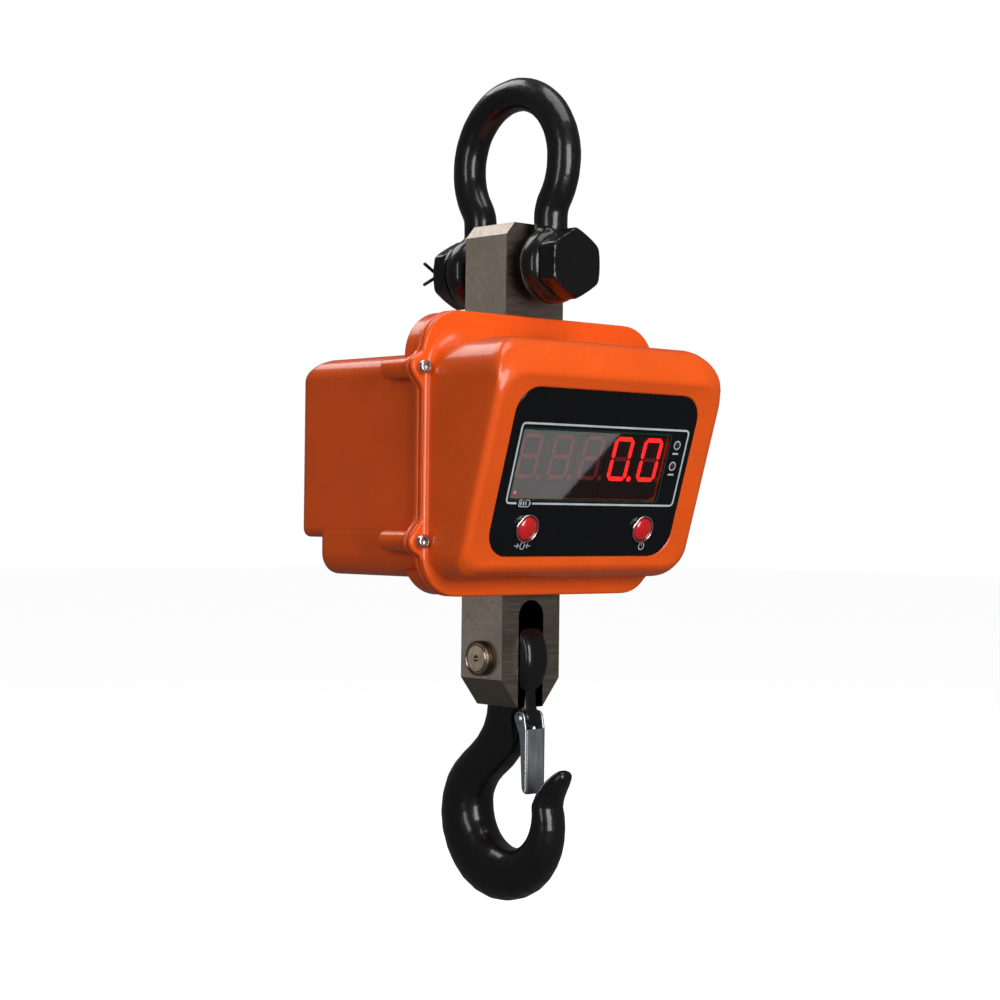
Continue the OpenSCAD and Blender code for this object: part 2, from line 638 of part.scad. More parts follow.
module front_panel() color("#15161a") on_face() difference() {
    translate([0, -panel_top - panel_h / 2, -panel_t]) linear_extrude(panel_t)
        round_rect(panel_w - 0.4, panel_h - 0.4, panel_r - 0.2);
    translate([window_x, -window_top - window_h / 2, -panel_t - 1]) linear_extrude(panel_t + 2)
        round_rect(window_w, window_h, window_r);
    for (sx = [-1, 1]) translate([sx * button_pitch / 2, -button_v, -panel_t - 1])
        cylinder(d = body_d + 0.2, h = panel_t + 2);
    for (p = lamps) translate([p[0], -p[1], -panel_t - 1]) cylinder(d = lamp_d + 0.2, h = panel_t + 2);
}

module display_window() color("#2a1414") on_face()
    translate([window_x, -window_top - window_h / 2, -panel_t - 1.5])
        linear_extrude(panel_t + 1.5) round_rect(window_w - 0.2, window_h - 0.2, window_r);

module display_board() color("#1f5a2c") difference() {
    on_face() translate([window_x - board_w / 2, -window_top - window_h / 2 - board_h / 2, 0])
        translate([0, 0, -display_back - board_t]) cube([board_w, board_h, board_t]);
    at_board_holes() translate([0, 0, -display_back - board_t - 1]) cylinder(d = 3.2, h = board_t + 2);
}

module display_digits() color("#5b1a18") on_face() for (i = [0 : digit_n - 1])
    translate([window_x + (i - (digit_n - 1) / 2) * digit_pitch, -window_top - window_h / 2, -display_back])
        translate([-digit_pitch / 2 + 0.2, -window_h / 2 + 1, 0])
            cube([digit_pitch - 0.4, window_h - 2, digit_t]);

module status_lamps() color("#c03030") on_face() for (p = lamps) translate([p[0], -p[1], -display_back]) {
    cylinder(d = lamp_d, h = display_back);
    sphere_cap(lamp_d);
}
module sphere_cap(d) translate([0, 0, display_back]) intersection() {
    sphere(d = d);
    translate([-d, -d, 0]) cube([2 * d, 2 * d, 0.8]);
}

module main_board() color("#1f5a2c") difference() {
    on_face() {
        translate([window_x - board_w / 2, -window_top - window_h / 2 - board_h / 2, -main_back - board_t])
            cube([board_w, board_h, board_t]);
        // transformer, two big capacitors and a row of chips on its back
        translate([window_x - 20, -window_top - 32, -main_back - board_t - 9]) cube([24, 20, 9]);
        for (i = [0, 1]) translate([window_x + 22 + 14 * i, -window_top - 14, -main_back - board_t - 8])
            cylinder(d = 10, h = 8);
        for (i = [0 : 2]) translate([window_x - 58 + 12 * i, -window_top - 24, -main_back - board_t - 3])
            cube([8, 16, 3]);
        // connector of the gauge lead
        translate([window_x + 46, -window_top - 1, -main_back - board_t - 8]) cube([10, 8, 8]);
    }
    at_board_holes() translate([0, 0, -main_back - board_t - 1]) cylinder(d = 3.2, h = board_t + 2);
}

// Depth and length of the two rows of spacers
spacer_rows = [
    [-display_back, display_back - face_wall - 0.5],
    [-main_back, main_back - display_back - board_t]
];
module board_spacers() color("#c8b26a") at_board_holes() for (s = spacer_rows)
    translate([0, 0, s[0]]) difference() {
        cylinder(d = 6, h = s[1]);
        translate([0, 0, -1]) cylinder(d = 3.2, h = s[1] + 2);
    }

module board_screws() color("#b0b0b0") at_board_holes()
    translate([0, 0, -main_back - board_t]) mirror([0, 0, 1]) cap_screw(2.9, 5.5, 3, main_back - face_wall - 1);

module button_bezels() color("#c9c9c9") at_buttons() difference() {
    union() {
        translate([0, 0, -body_l]) cylinder(d = body_d, h = body_l + eps);
        cylinder(d = bezel_d, h = bezel_h - 0.7);
        translate([0, 0, bezel_h - 0.7]) cylinder(d1 = bezel_d, d2 = bezel_d - 1.2, h = 0.7);
    }
    translate([0, 0, -body_l + 3]) cylinder(d = bezel_bore, h = body_l + bezel_h);
}

module bezel_nuts() color("#c9c9c9") at_buttons() translate([0, 0, -face_wall - 3.6]) difference() {
    cylinder(d = 25, h = 3, $fn = 6);
    translate([0, 0, -1]) cylinder(d = body_d + 0.1, h = 5);
}

module switch_bodies() color("#303030") at_buttons() translate([0, 0, -body_l]) {
    translate([0, 0, -6]) cylinder(d = body_d - 1.6, h = 6);
    for (sx = [-1, 1]) translate([sx * 3.5 - 1.4, -0.4, -11]) cube([2.8, 0.8, 5 + eps]);
}

module button_cap() {
    cap_low = -body_l + 3 + button_travel + 0.5;
    translate([0, 0, cap_low]) cylinder(d = button_d, h = bezel_h - cap_low);
    translate([0, 0, bezel_h]) intersection() {
        translate([0, 0, 1.6 - 17.4]) sphere(d = 34.8);
        cylinder(d = button_d - 0.1, h = 2);
    }
}
module tare_button() color("#c8202a") on_face() translate([-button_pitch / 2, -button_v, 0]) button_cap();
module power_button() color("#c8202a") on_face() translate([button_pitch / 2, -button_v, 0]) button_cap();

module battery() color("#3a3f45") {
    translate([-battery_w / 2, battery_y, plate_z - battery_h / 2]) cube([battery_w, battery_d, battery_h]);
    // blade terminals
    for (sx = [-1, 1]) translate([sx * 36 - 3, battery_y + battery_d / 2 - 0.4, plate_z + battery_h / 2 - eps])
        cube([6, 0.8, 6]);
}
module battery_pad() color("#444444") difference() {
    translate([-battery_w / 2, bar_d / 2 + plate_t, plate_z - battery_h / 2])
        cube([battery_w, pad_t, battery_h]);
    at_bar_holes() translate([-7, bar_d / 2 + plate_t - 1, -7]) cube([14, pad_t + 2, 14]);
}
// A bent strip that holds the battery against the plate
module battery_strap() color("#b9bec2") translate([0, bar_d / 2 + plate_t, plate_z]) difference() {
    union() for (side = [0, 1]) mirror([side, 0, 0]) {
        translate([battery_w / 2, 0, -strap_w / 2]) cube([strap_t, battery_d + pad_t + strap_t, strap_w]);
        translate([battery_w / 2, 0, -strap_w / 2]) cube([strap_foot, strap_t, strap_w]);
        translate([-eps, battery_d + pad_t, -strap_w / 2]) cube([battery_w / 2 + strap_t, strap_t, strap_w]);
    }
    at_strap_screws() along_y(4.3, -1, strap_t + 1);
}
module at_strap_screws() for (sx = [-1, 1])
    translate([sx * (battery_w / 2 + strap_foot / 2 + 1), 0, 0]) children();
module strap_screws() color("#a0a0a0") translate([0, bar_d / 2 + plate_t + strap_t, plate_z])
    at_strap_screws() rotate([-90, 0, 0]) cap_screw(4, 7, 3, strap_t);

module door_gasket() color("#202020") difference() {
    plate_xz(door_w - 2, door_z + door_h / 2 - 1, door_z - door_h / 2 + 1, 5, rear_y, rear_y + 1);
    plate_xz(door_gap_w, door_z + door_gap_h / 2, door_z - door_gap_h / 2, 4, rear_y - 1, rear_y + 2);
    at_door_screws() along_y(3.3, rear_y - 1, rear_y + 2);
}
module battery_door() color("#c94a14") difference() {
    plate_xz(door_w, door_z + door_h / 2, door_z - door_h / 2, 6, rear_y + 1, rear_y + 1 + door_t);
    at_door_screws() along_y(3.3, rear_y, rear_y + 5);
}
module door_screws() color("#b8b8b8") at_door_screws()
    translate([0, rear_y + 1 + door_t, 0]) rotate([-90, 0, 0]) cap_screw(3, 5.5, 2.4, 9);

module charge_socket() color("#26262a") translate([socket_x, socket_y, z_bottom]) difference() {
    union() {
        translate([0, 0, -1.5]) cylinder(d = 10, h = 17.5);
        translate([0, 0, -1.5]) cylinder(d = 13, h = 1.5);
    }
    difference() {
        translate([0, 0, -2]) cylinder(d = 5.6, h = 12);
        translate([0, 0, -1]) cylinder(d = 2, h = 12);
    }
}
module socket_cap() color("#1a1a1a") translate([socket_x, socket_y, z_bottom - 1.5]) difference() {
    union() {
        translate([0, 0, -4]) cylinder(d = 11, h = 4);
        translate([0, 0, -eps]) cylinder(d = 5.4, h = 6);
    }
    cylinder(d = 2.4, h = 8);
}

cable_d = 4;
cable_z = gauge_z + gauge_d / 2 + 14;
cable_bend = 8;
cable_x = bar_w / 2 + 12;
cable_end_y = -face_y + main_back + 19.6;
// The gauge lead leaves the bar's side through a gland, turns forward and ends at the main board's connector
module cable_gland() color("#303030") translate([0, 0, cable_z]) difference() {
    along_x(9, bar_w / 2, bar_w / 2 + 4);
    along_x(cable_d, bar_w / 2 - 1, bar_w / 2 + 5);
}
module sensor_cable() color("#262626") translate([0, 0, cable_z]) {
    along_x(cable_d, bar_w / 2, cable_x);
    translate([cable_x, -cable_bend, 0]) rotate_extrude(angle = 90)
        translate([cable_bend, 0]) circle(d = cable_d);
    translate([cable_x + cable_bend, 0, 0]) along_y(cable_d, cable_end_y, -cable_bend);
}

shackle_bow();
shackle_bolt();
shackle_nut();
shackle_washer();
shackle_cotter();
load_bar();
gauge_covers();
hook_pin();
pin_retainer();
hook();
gate();
gate_pin();
front_cover();
rear_cover();
cover_gasket();
cover_screws();
top_seal();
bottom_seal();
frame_plate();
frame_screws();
front_panel();
display_window();
display_board();
display_digits();
status_lamps();
main_board();
board_spacers();
board_screws();
button_bezels();
bezel_nuts();
switch_bodies();
tare_button();
power_button();
battery();
battery_pad();
battery_strap();
strap_screws();
battery_door();
door_gasket();
door_screws();
charge_socket();
socket_cap();
sensor_cable();
cable_gland();
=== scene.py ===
import json
import math

import bmesh
import bpy
import numpy as np
from mathutils import Matrix, Vector, noise


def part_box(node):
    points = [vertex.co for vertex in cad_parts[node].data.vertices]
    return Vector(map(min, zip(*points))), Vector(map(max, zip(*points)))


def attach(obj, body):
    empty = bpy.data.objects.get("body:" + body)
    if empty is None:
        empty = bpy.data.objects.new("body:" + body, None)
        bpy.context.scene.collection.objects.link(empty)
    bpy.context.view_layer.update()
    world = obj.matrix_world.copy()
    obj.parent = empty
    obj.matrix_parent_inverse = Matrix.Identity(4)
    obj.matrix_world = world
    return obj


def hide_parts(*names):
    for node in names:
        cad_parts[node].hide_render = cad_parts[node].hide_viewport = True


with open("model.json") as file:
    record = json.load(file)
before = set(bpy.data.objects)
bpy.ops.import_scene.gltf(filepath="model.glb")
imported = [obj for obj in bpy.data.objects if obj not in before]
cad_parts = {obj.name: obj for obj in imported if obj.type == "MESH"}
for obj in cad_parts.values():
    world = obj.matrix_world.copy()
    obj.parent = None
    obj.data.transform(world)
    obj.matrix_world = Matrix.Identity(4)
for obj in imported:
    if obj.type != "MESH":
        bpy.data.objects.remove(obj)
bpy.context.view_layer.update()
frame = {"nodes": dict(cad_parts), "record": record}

bl_info = {
    "name": "Crane scale",
    "version": (1, 0, 0),
    "blender": (4, 5, 0),
    "location": "View3D > Sidebar > Crane scale",
    "description": "Builds the shackle, housing, readout and hook of a crane scale round its packed frame",
    "category": "Object",
}

MM = 0.001
JOINTS = {j["name"]: j for j in frame["record"]["behaviour"]["joints"]}


def joint_point(name):
    """Where a joint turns, in millimetres."""
    return [c / MM for c in JOINTS[name]["pos_m"]]


def cad_box(node):
    """Lowest and highest corner of a CAD node, in millimetres."""
    low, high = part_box(node)
    return np.array(low) / MM, np.array(high) / MM


BOLT_Z = joint_point("shackle_swing")[2]
PIN_Z = joint_point("hook_swing")[2]
GATE_Y, GATE_Z = joint_point("gate_swing")[1:]
PRESS = JOINTS["tare_press"]["axis"]
TILT = math.atan2(PRESS[2], PRESS[1])
PANEL_LOW, PANEL_HIGH = cad_box("front_panel")
PANEL_W = PANEL_HIGH[0] - PANEL_LOW[0] + 0.4
PANEL_TOP = 11.5
FACE_Y = -PANEL_LOW[1] + (PANEL_TOP + 0.2) * math.sin(TILT)
FACE_Z = PANEL_HIGH[2] + (PANEL_TOP + 0.2) * math.cos(TILT) - 1.5 * math.sin(TILT)


# ---------------------------------------------------------------- sizes and finishes

def length(name, text, default):
    """A size that a user may change, given in millimetres."""
    return bpy.props.FloatProperty(name=name, description=text, default=default * MM,
                                   subtype="DISTANCE", unit="LENGTH", precision=4)


def tint(name, text, colour):
    """A colour that a user may change."""
    return bpy.props.FloatVectorProperty(name=name, description=text, default=colour, subtype="COLOR",
                                         size=3, min=0, max=1)


class CraneScaleSizes(bpy.types.PropertyGroup):
    """Sizes of the visible pieces"""
    bow_bar: length("Bow bar", "Diameter of the shackle's round bar", 21.5)
    bow_inside: length("Bow width", "Clear width inside the shackle", 69)
    eye_outer: length("Shackle eye", "Outer diameter of the shackle's eyes", 49)
    bar_width: length("Load bar width", "Width of the load bar across the front", 50)
    bar_depth: length("Load bar depth", "Depth of the load bar", 39)
    box_width: length("Box width", "Width of the housing's boxes", 194)
    flange_width: length("Flange width", "Width of the joint flange", 201)
    rim_rise: length("Rim rise", "How far the face's rim stands proud of the panel", 1.4)
    digit_height: length("Digit height", "Height of the readout's figures", 28.6)
    digit_pitch: length("Digit pitch", "Distance from one figure to the next", 25.925)
    hook_thickness: length("Hook thickness", "Greatest thickness of the hook", 32)
    forge_lumps: length("Forging lumps", "How far the forged surfaces wander", 0.22)


class CraneScaleFinishes(bpy.types.PropertyGroup):
    """Colours of the visible pieces"""
    housing: tint("Housing", "Powder coat of the housing", (0.82, 0.098, 0.007))
    forging: tint("Forgings", "Gloss paint of the shackle and the hook", (0.0055, 0.0055, 0.0065))
    bar: tint("Load bar", "Ground nickel plate of the load bar", (0.30, 0.255, 0.21))
    panel: tint("Panel", "Printed film of the front panel", (0.0035, 0.0038, 0.0048))
    readout: tint("Readout", "Glow of the lit figures", (1.0, 0.012, 0.010))
    button: tint("Buttons", "Translucent caps of the buttons", (0.62, 0.010, 0.014))


def sizes():
    return bpy.context.scene.crane_scale_sizes


def finishes():
    return bpy.context.scene.crane_scale_finishes


def mm(name):
    """One of the sizes, in millimetres."""
    return getattr(sizes(), name) / MM


# ---------------------------------------------------------------- materials

def node(tree, kind, sockets=None, **settings):
    """Adds a node, with its settings and what goes into its sockets."""
    made = tree.nodes.new(kind)
    for key, value in settings.items():
        setattr(made, key, value)
    for key, value in (sockets or {}).items():
        if isinstance(value, bpy.types.NodeSocket):
            tree.links.new(value, made.inputs[key])
        else:
            made.inputs[key].default_value = value
    return made


def surface(name, **shader):
    """A new material, its tree, its shader and its object coordinates."""
    material = bpy.data.materials.new(name)
    material.use_nodes = True
    tree = material.node_tree
    tree.nodes.clear()
    bsdf = node(tree, "ShaderNodeBsdfPrincipled")
    out = node(tree, "ShaderNodeOutputMaterial")
    tree.links.new(bsdf.outputs[0], out.inputs[0])
    where = node(tree, "ShaderNodeTexCoord").outputs["Object"]
    for key, value in shader.items():
        socket = key.replace("_", " ").capitalize()
        for real in bsdf.inputs:
            if real.name.lower() == socket.lower():
                real.default_value = (*value, 1) if isinstance(value, (tuple, list)) else value
    return material, tree, bsdf, where


def grain(tree, where, scale, detail=3, stretch=None, rough=0.55):
    """Noise of a given scale, pulled out along some axes if asked."""
    if stretch:
        where = node(tree, "ShaderNodeMapping", {"Vector": where, "Scale": stretch}).outputs[0]
    return node(tree, "ShaderNodeTexNoise", {"Vector": where, "Scale": scale, "Detail": detail,
                                             "Roughness": rough}).outputs[0]


def spread(tree, value, low, high, start=0.3, end=0.7):
    """Maps noise from start..end to low..high."""
    return node(tree, "ShaderNodeMapRange", {"Value": value, "From Min": start, "From Max": end,
                                             "To Min": low, "To Max": high}).outputs[0]


def blend(tree, factor, first, second):
    """Mixes two colours."""
    mix = node(tree, "ShaderNodeMix", data_type="RGBA")
    mix.inputs[0].default_value = 0
    if isinstance(factor, bpy.types.NodeSocket):
        tree.links.new(factor, mix.inputs[0])
    else:
        mix.inputs[0].default_value = factor
    for slot, colour in ((6, first), (7, second)):
        if isinstance(colour, bpy.types.NodeSocket):
            tree.links.new(colour, mix.inputs[slot])
        else:
            mix.inputs[slot].default_value = (*colour[:3], 1)
    return mix.outputs[2]


def bumps(tree, bsdf, *layers):
    """Stacks bumps, each a height socket and its depth in millimetres."""
    normal = None
    for height, depth in layers:
        bump = node(tree, "ShaderNodeBump", {"Height": height, "Strength": 1.0, "Distance": depth * MM})
        if normal:
            tree.links.new(normal, bump.inputs["Normal"])
        normal = bump.outputs[0]
    tree.links.new(normal, bsdf.inputs["Normal"])


def shade(colour, factor):
    return tuple(min(1.0, c * factor) for c in colour)


def powder_coat(name, colour):
    """Gloss powder coat over a die casting: fine orange peel and slow changes of film thickness."""
    material, tree, bsdf, where = surface(name, roughness=0.34, coat_weight=0.35, coat_roughness=0.06,
                                          specular_ior_level=0.3)
    slow = grain(tree, where, 22, 4)
    tree.links.new(blend(tree, spread(tree, slow, 0, 1), shade(colour, 0.93), shade(colour, 1.05)),
                   bsdf.inputs["Base Color"])
    tree.links.new(spread(tree, grain(tree, where, 240, 3), 0.26, 0.36), bsdf.inputs["Roughness"])
    bumps(tree, bsdf, (slow, 0.10), (grain(tree, where, 130, 2), 0.012))
    return material


def forged_paint(name, colour):
    """Thick gloss paint over a forged skin: lumps, runs and a few dull specks."""
    material, tree, bsdf, where = surface(name, roughness=0.3, coat_weight=0.4, coat_roughness=0.05, specular_ior_level=0.3)
    lumps = grain(tree, where, 75, 3)
    skin = grain(tree, where, 420, 5, rough=0.65)
    specks = node(tree, "ShaderNodeTexVoronoi", {"Vector": where, "Scale": 260.0}).outputs["Distance"]
    dull = spread(tree, specks, 1, 0, 0.02, 0.09)
    tree.links.new(blend(tree, dull, colour, shade(colour, 3.0)), bsdf.inputs["Base Color"])
    tree.links.new(spread(tree, skin, 0.22, 0.36), bsdf.inputs["Roughness"])
    bumps(tree, bsdf, (lumps, 0.35), (skin, 0.010))
    return material


def ground_steel(name, colour, stretch, roughness=0.34, metallic=1.0):
    """Ground or brushed metal: fine scratches one way, faint stains."""
    material, tree, bsdf, where = surface(name, metallic=metallic)
    lines = grain(tree, where, 60, 5, stretch, 0.7)
    stains = grain(tree, where, 35, 4)
    tone = blend(tree, spread(tree, stains, 0, 1), shade(colour, 0.8), shade(colour, 1.12))
    tree.links.new(blend(tree, spread(tree, lines, 0, 0.5), tone, shade(colour, 0.72)), bsdf.inputs["Base Color"])
    tree.links.new(spread(tree, lines, roughness - 0.08, roughness + 0.12), bsdf.inputs["Roughness"])
    bumps(tree, bsdf, (lines, 0.02), (stains, 0.03))
    return material


def turned_steel(name, colour, centre, axis):
    """Turned metal: rings round the axis, at the centre given in metres."""
    material, tree, bsdf, where = surface(name, metallic=1.0)
    middle = node(tree, "ShaderNodeMapping", {"Vector": where, "Location": tuple(-c for c in centre)}).outputs[0]
    rings = node(tree, "ShaderNodeTexWave", {"Vector": middle, "Scale": 330.0, "Distortion": 1.5, "Detail": 2.0},
                 wave_type="RINGS", rings_direction=axis).outputs["Fac"]
    stains = grain(tree, where, 180, 4)
    tree.links.new(blend(tree, spread(tree, stains, 0, 1), shade(colour, 0.7), shade(colour, 1.15)),
                   bsdf.inputs["Base Color"])
    tree.links.new(spread(tree, rings, 0.2, 0.36, 0, 1), bsdf.inputs["Roughness"])
    bumps(tree, bsdf, (rings, 0.025))
    return material


def moulded(name, colour, roughness=0.45, depth=0.02, scale=900, **shader):
    """Moulded plastic or rubber with a fine eroded skin."""
    material, tree, bsdf, where = surface(name, **shader)
    skin = grain(tree, where, scale, 3)
    slow = grain(tree, where, 60, 3)
    tree.links.new(blend(tree, spread(tree, slow, 0, 1), shade(colour, 0.85), shade(colour, 1.15)),
                   bsdf.inputs["Base Color"])
    tree.links.new(spread(tree, skin, roughness - 0.06, roughness + 0.08), bsdf.inputs["Roughness"])
    bumps(tree, bsdf, (skin, depth))
    return material


def circuit_board(name):
    """Green solder mask over copper tracks, with tinned pads."""
    material, tree, bsdf, where = surface(name, roughness=0.35, coat_weight=0.3)
    tracks = node(tree, "ShaderNodeTexBrick", {"Vector": where, "Scale": 300.0, "Mortar Size": 0.02},
                  offset=0.5).outputs["Fac"]
    tone = blend(tree, tracks, (0.012, 0.085, 0.03), (0.03, 0.17, 0.06))
    dots = node(tree, "ShaderNodeTexVoronoi", {"Vector": where, "Scale": 160.0}).outputs["Distance"]
    tree.links.new(blend(tree, spread(tree, dots, 1, 0, 0.1, 0.16), tone, (0.5, 0.5, 0.45)),
                   bsdf.inputs["Base Color"])
    bumps(tree, bsdf, (tracks, 0.03))
    return material


def glowing(name, colour, strength):
    """Lit plastic: a diffuser with a slightly uneven glow."""
    material, tree, bsdf, where = surface(name, roughness=0.3, emission_strength=strength)
    uneven = grain(tree, where, 500, 2)
    for socket, dim in (("Base Color", 0.4), ("Emission Color", 0.85)):
        tree.links.new(blend(tree, spread(tree, uneven, 0, 1), shade(colour, dim), colour), bsdf.inputs[socket])
    return material


def smoked_window(name):
    """Smoked red acrylic, seen through, with a hard gloss and faint wipe marks."""
    material, tree, bsdf, where = surface(name, alpha=0.32, coat_weight=1.0, coat_roughness=0.01)
    wipes = grain(tree, where, 40, 4, (1, 6, 6))
    tree.links.new(blend(tree, spread(tree, wipes, 0, 1), (0.006, 0.001, 0.001), (0.010, 0.0015, 0.0015)),
                   bsdf.inputs["Base Color"])
    tree.links.new(spread(tree, wipes, 0.015, 0.04), bsdf.inputs["Roughness"])
    return material


def red_cap(name, colour):
    """Translucent red button cap: clear skin over a cloudy core."""
    material, tree, bsdf, where = surface(name, coat_weight=1.0, coat_roughness=0.04, subsurface_weight=0.35,
                                          subsurface_scale=0.002)
    cloud = grain(tree, where, 260, 3)
    tree.links.new(blend(tree, spread(tree, cloud, 0, 1), shade(colour, 0.8), shade(colour, 1.15)),
                   bsdf.inputs["Base Color"])
    tree.links.new(spread(tree, grain(tree, where, 900, 2), 0.12, 0.24), bsdf.inputs["Roughness"])
    return material


MATERIALS = {}


def material_for(slot):
    """The material of one of the record's slots, made once."""
    if slot not in MATERIALS:
        look = finishes()
        pin = (0, 0, PIN_Z * MM)
        makers = {
            "black_paint": lambda: forged_paint("gloss_black_forging", tuple(look.forging)),
            "black_bolt": lambda: forged_paint("gloss_black_bolt", shade(tuple(look.forging), 0.8)),
            "dark_steel": lambda: ground_steel("oiled_spring_steel", (0.05, 0.05, 0.055), (2, 2, 2), 0.4),
            "nickel_steel": lambda: ground_steel("ground_nickel", tuple(look.bar), (1, 14, 14), 0.36),
            "turned_steel": lambda: turned_steel("turned_pin", (0.34, 0.27, 0.20), pin, "X"),
            "zinc_plate": lambda: ground_steel("bright_zinc", (0.62, 0.67, 0.71), (9, 9, 1), 0.33),
            "orange_paint": lambda: powder_coat("orange_powder_coat", tuple(look.housing)),
            "black_rubber": lambda: moulded("black_rubber", (0.012, 0.012, 0.012), 0.6, 0.03),
            "stainless": lambda: ground_steel("stainless_screws", (0.62, 0.60, 0.57), (1, 6, 1), 0.24),
            "panel_film": lambda: moulded("printed_panel_film", tuple(look.panel), 0.2, 0.002, 2200,
                                          specular_ior_level=0.35),
            "smoked_window": lambda: smoked_window("smoked_window"),
            "circuit_board": lambda: circuit_board("green_board"),
            "led_digits": lambda: moulded("dark_digit_block", (0.012, 0.003, 0.003), 0.5, 0.01),
            "lamp_red": lambda: moulded("dark_lamp_lens", (0.03, 0.006, 0.006), 0.15, 0.004, coat_weight=0.8),
            "brass_spacer": lambda: ground_steel("turned_brass", (0.62, 0.42, 0.16), (1, 8, 8), 0.25),
            "chrome_ring": lambda: ground_steel("bright_chrome", (0.82, 0.80, 0.78), (1, 1, 1), 0.12),
            "black_plastic": lambda: moulded("black_nylon", (0.015, 0.015, 0.017), 0.4, 0.02),
            "button_red": lambda: red_cap("translucent_red_cap", tuple(look.button)),
            "battery_case": lambda: moulded("battery_case", (0.03, 0.033, 0.038), 0.42, 0.03),
            "white_print": lambda: moulded("silver_print", (0.52, 0.56, 0.60), 0.42, 0.004, 1500),
            "green_edge": lambda: moulded("green_window_edge", (0.006, 0.03, 0.016), 0.25, 0.004, 1500),
            "ghost_segment": lambda: moulded("unlit_segment", (0.42, 0.045, 0.045), 0.35, 0.004),
            "lit_segment": lambda: glowing("lit_segment", tuple(look.readout), 5.0),
        }
        MATERIALS[slot] = makers[slot]()
    return MATERIALS[slot]


# ---------------------------------------------------------------- shapes, in millimetres

def round_box(half_w, top, low, r_top, r_low, n=10):
    """A rectangle with round corners: x, z and the way each point faces, from the top right round."""
    points = []
    for cx, cz, r, start in ((half_w - r_top, top - r_top, r_top, 0), (r_top - half_w, top - r_top, r_top, 90),
                             (r_low - half_w, low + r_low, r_low, 180), (half_w - r_low, low + r_low, r_low, 270)):
        for i in range(n + 1):
            a = math.radians(start + 90 * i / n)
            points.append((cx + r * math.cos(a), cz + r * math.sin(a), a))
    return np.array(points)


def grow(outline, by):
    """Moves an outline outwards, by one distance or by one for each point."""
    by = np.broadcast_to(by, len(outline))
    return np.column_stack([outline[:, 0] + by * np.cos(outline[:, 2]), outline[:, 1] + by * np.sin(outline[:, 2]),
                            outline[:, 2]])


def facing(points):
    """An outline from plain points: each faces away from its neighbours' line."""
    p = np.array(points, float)
    along = np.roll(p, -1, 0) - np.roll(p, 1, 0)
    return np.column_stack([p, np.arctan2(-along[:, 0], along[:, 1])])


def loft(rings, closed=False, caps=True):
    """A skin through rings of equal count; closed joins the last ring to the first."""
    rings = [np.asarray(r, float) for r in rings]
    n, m = len(rings[0]), len(rings)
    faces = []
    for i in range(m if closed else m - 1):
        a, b = i * n, ((i + 1) % m) * n
        faces += [(a + j, a + (j + 1) % n, b + (j + 1) % n, b + j) for j in range(n)]
    if caps and not closed:
        faces += [tuple(range(n)), tuple(range((m - 1) * n, m * n))]
    return np.vstack(rings), faces


def upright(outline, y):
    """An x-z outline at the depth y, which may differ from point to point."""
    return np.column_stack([outline[:, 0], np.broadcast_to(y, len(outline)), outline[:, 1]])


def on_face(outline, w):
    """An outline of the front face, in u to the right and v down the slope, at the height w out of it."""
    u, v = outline[:, 0], outline[:, 1]
    w = np.broadcast_to(w, len(outline))
    return np.column_stack([u, -FACE_Y + v * math.sin(TILT) - w * math.cos(TILT),
                            FACE_Z - v * math.cos(TILT) - w * math.sin(TILT)])


def face_spot(u, v, w=0.0):
    return on_face(np.array([[u, v]]), w)[0]


FACE_OUT = np.array([0, -math.cos(TILT), -math.sin(TILT)])


def arc_steps(n):
    """Angles of a quarter circle, in n steps."""
    return [math.pi / 2 * k / n for k in range(n + 1)]


def plate(outline, y0, y1, soft=0.8, place=upright):
    """A plate with softened edges."""
    rings = [place(grow(outline, -soft * (1 - math.sin(a))), y0 + soft * (1 - math.cos(a))) for a in arc_steps(3)]
    rings += [place(grow(outline, -soft * (1 - math.cos(a))), y1 - soft * (1 - math.sin(a))) for a in arc_steps(3)]
    return loft(rings)


def revolve(profile, centre, axis, n=64, closed=False, radius=None):
    """Turns a profile of (radius, height) round an axis. radius changes a radius by angle and row."""
    axis = np.array(axis, float) / np.linalg.norm(axis)
    side = np.cross(axis, (0, 0, 1) if abs(axis[2]) < 0.9 else (1, 0, 0))
    side /= np.linalg.norm(side)
    other = np.cross(axis, side)
    rings = []
    for row, (r, h) in enumerate(profile):
        turn = np.arange(n) * 2 * math.pi / n
        rr = radius(turn, row, r) if radius else np.full(n, float(r))
        rings.append(np.array(centre) + h * axis + rr[:, None] * (np.cos(turn)[:, None] * side + np.sin(turn)[:, None] * other))
    return loft(rings, closed=closed)


def softened(profile, radii, steps=4):
    """Rounds the corners of a profile: radii gives each point its own trim."""
    out = []
    p = [np.array(q, float) for q in profile]
    for i, q in enumerate(p):
        r = radii[i] if isinstance(radii, (list, tuple)) else radii
        if r <= 0 or i in (0, len(p) - 1):
            out.append(tuple(q))
            continue
        a, b = p[i - 1] - q, p[(i + 1) % len(p)] - q
        ta, tb = min(r, 0.49 * np.linalg.norm(a)), min(r, 0.49 * np.linalg.norm(b))
        a, b = a / np.linalg.norm(a) * ta, b / np.linalg.norm(b) * tb
        for k in range(steps + 1):
            s = k / steps
            out.append(tuple(q + a * (1 - s) ** 2 + b * s ** 2))
    return out


def hexagon(turn, apothem, start=0.0, power=36):
    """Radius of a hexagon with soft corners."""
    total = sum(np.maximum(np.cos(turn - start - k * math.pi / 3), 0) ** power for k in range(6))
    return apothem / total ** (1 / power)


def soft_min(a, b, power=26):
    return (a ** -power + b ** -power) ** (-1 / power)


def prism(points, y0, y1):
    """A straight prism from x-z points."""
    flat = np.array(points, float)
    rings = [np.column_stack([flat[:, 0], np.full(len(flat), y), flat[:, 1]]) for y in (y0, y1)]
    return loft(rings)


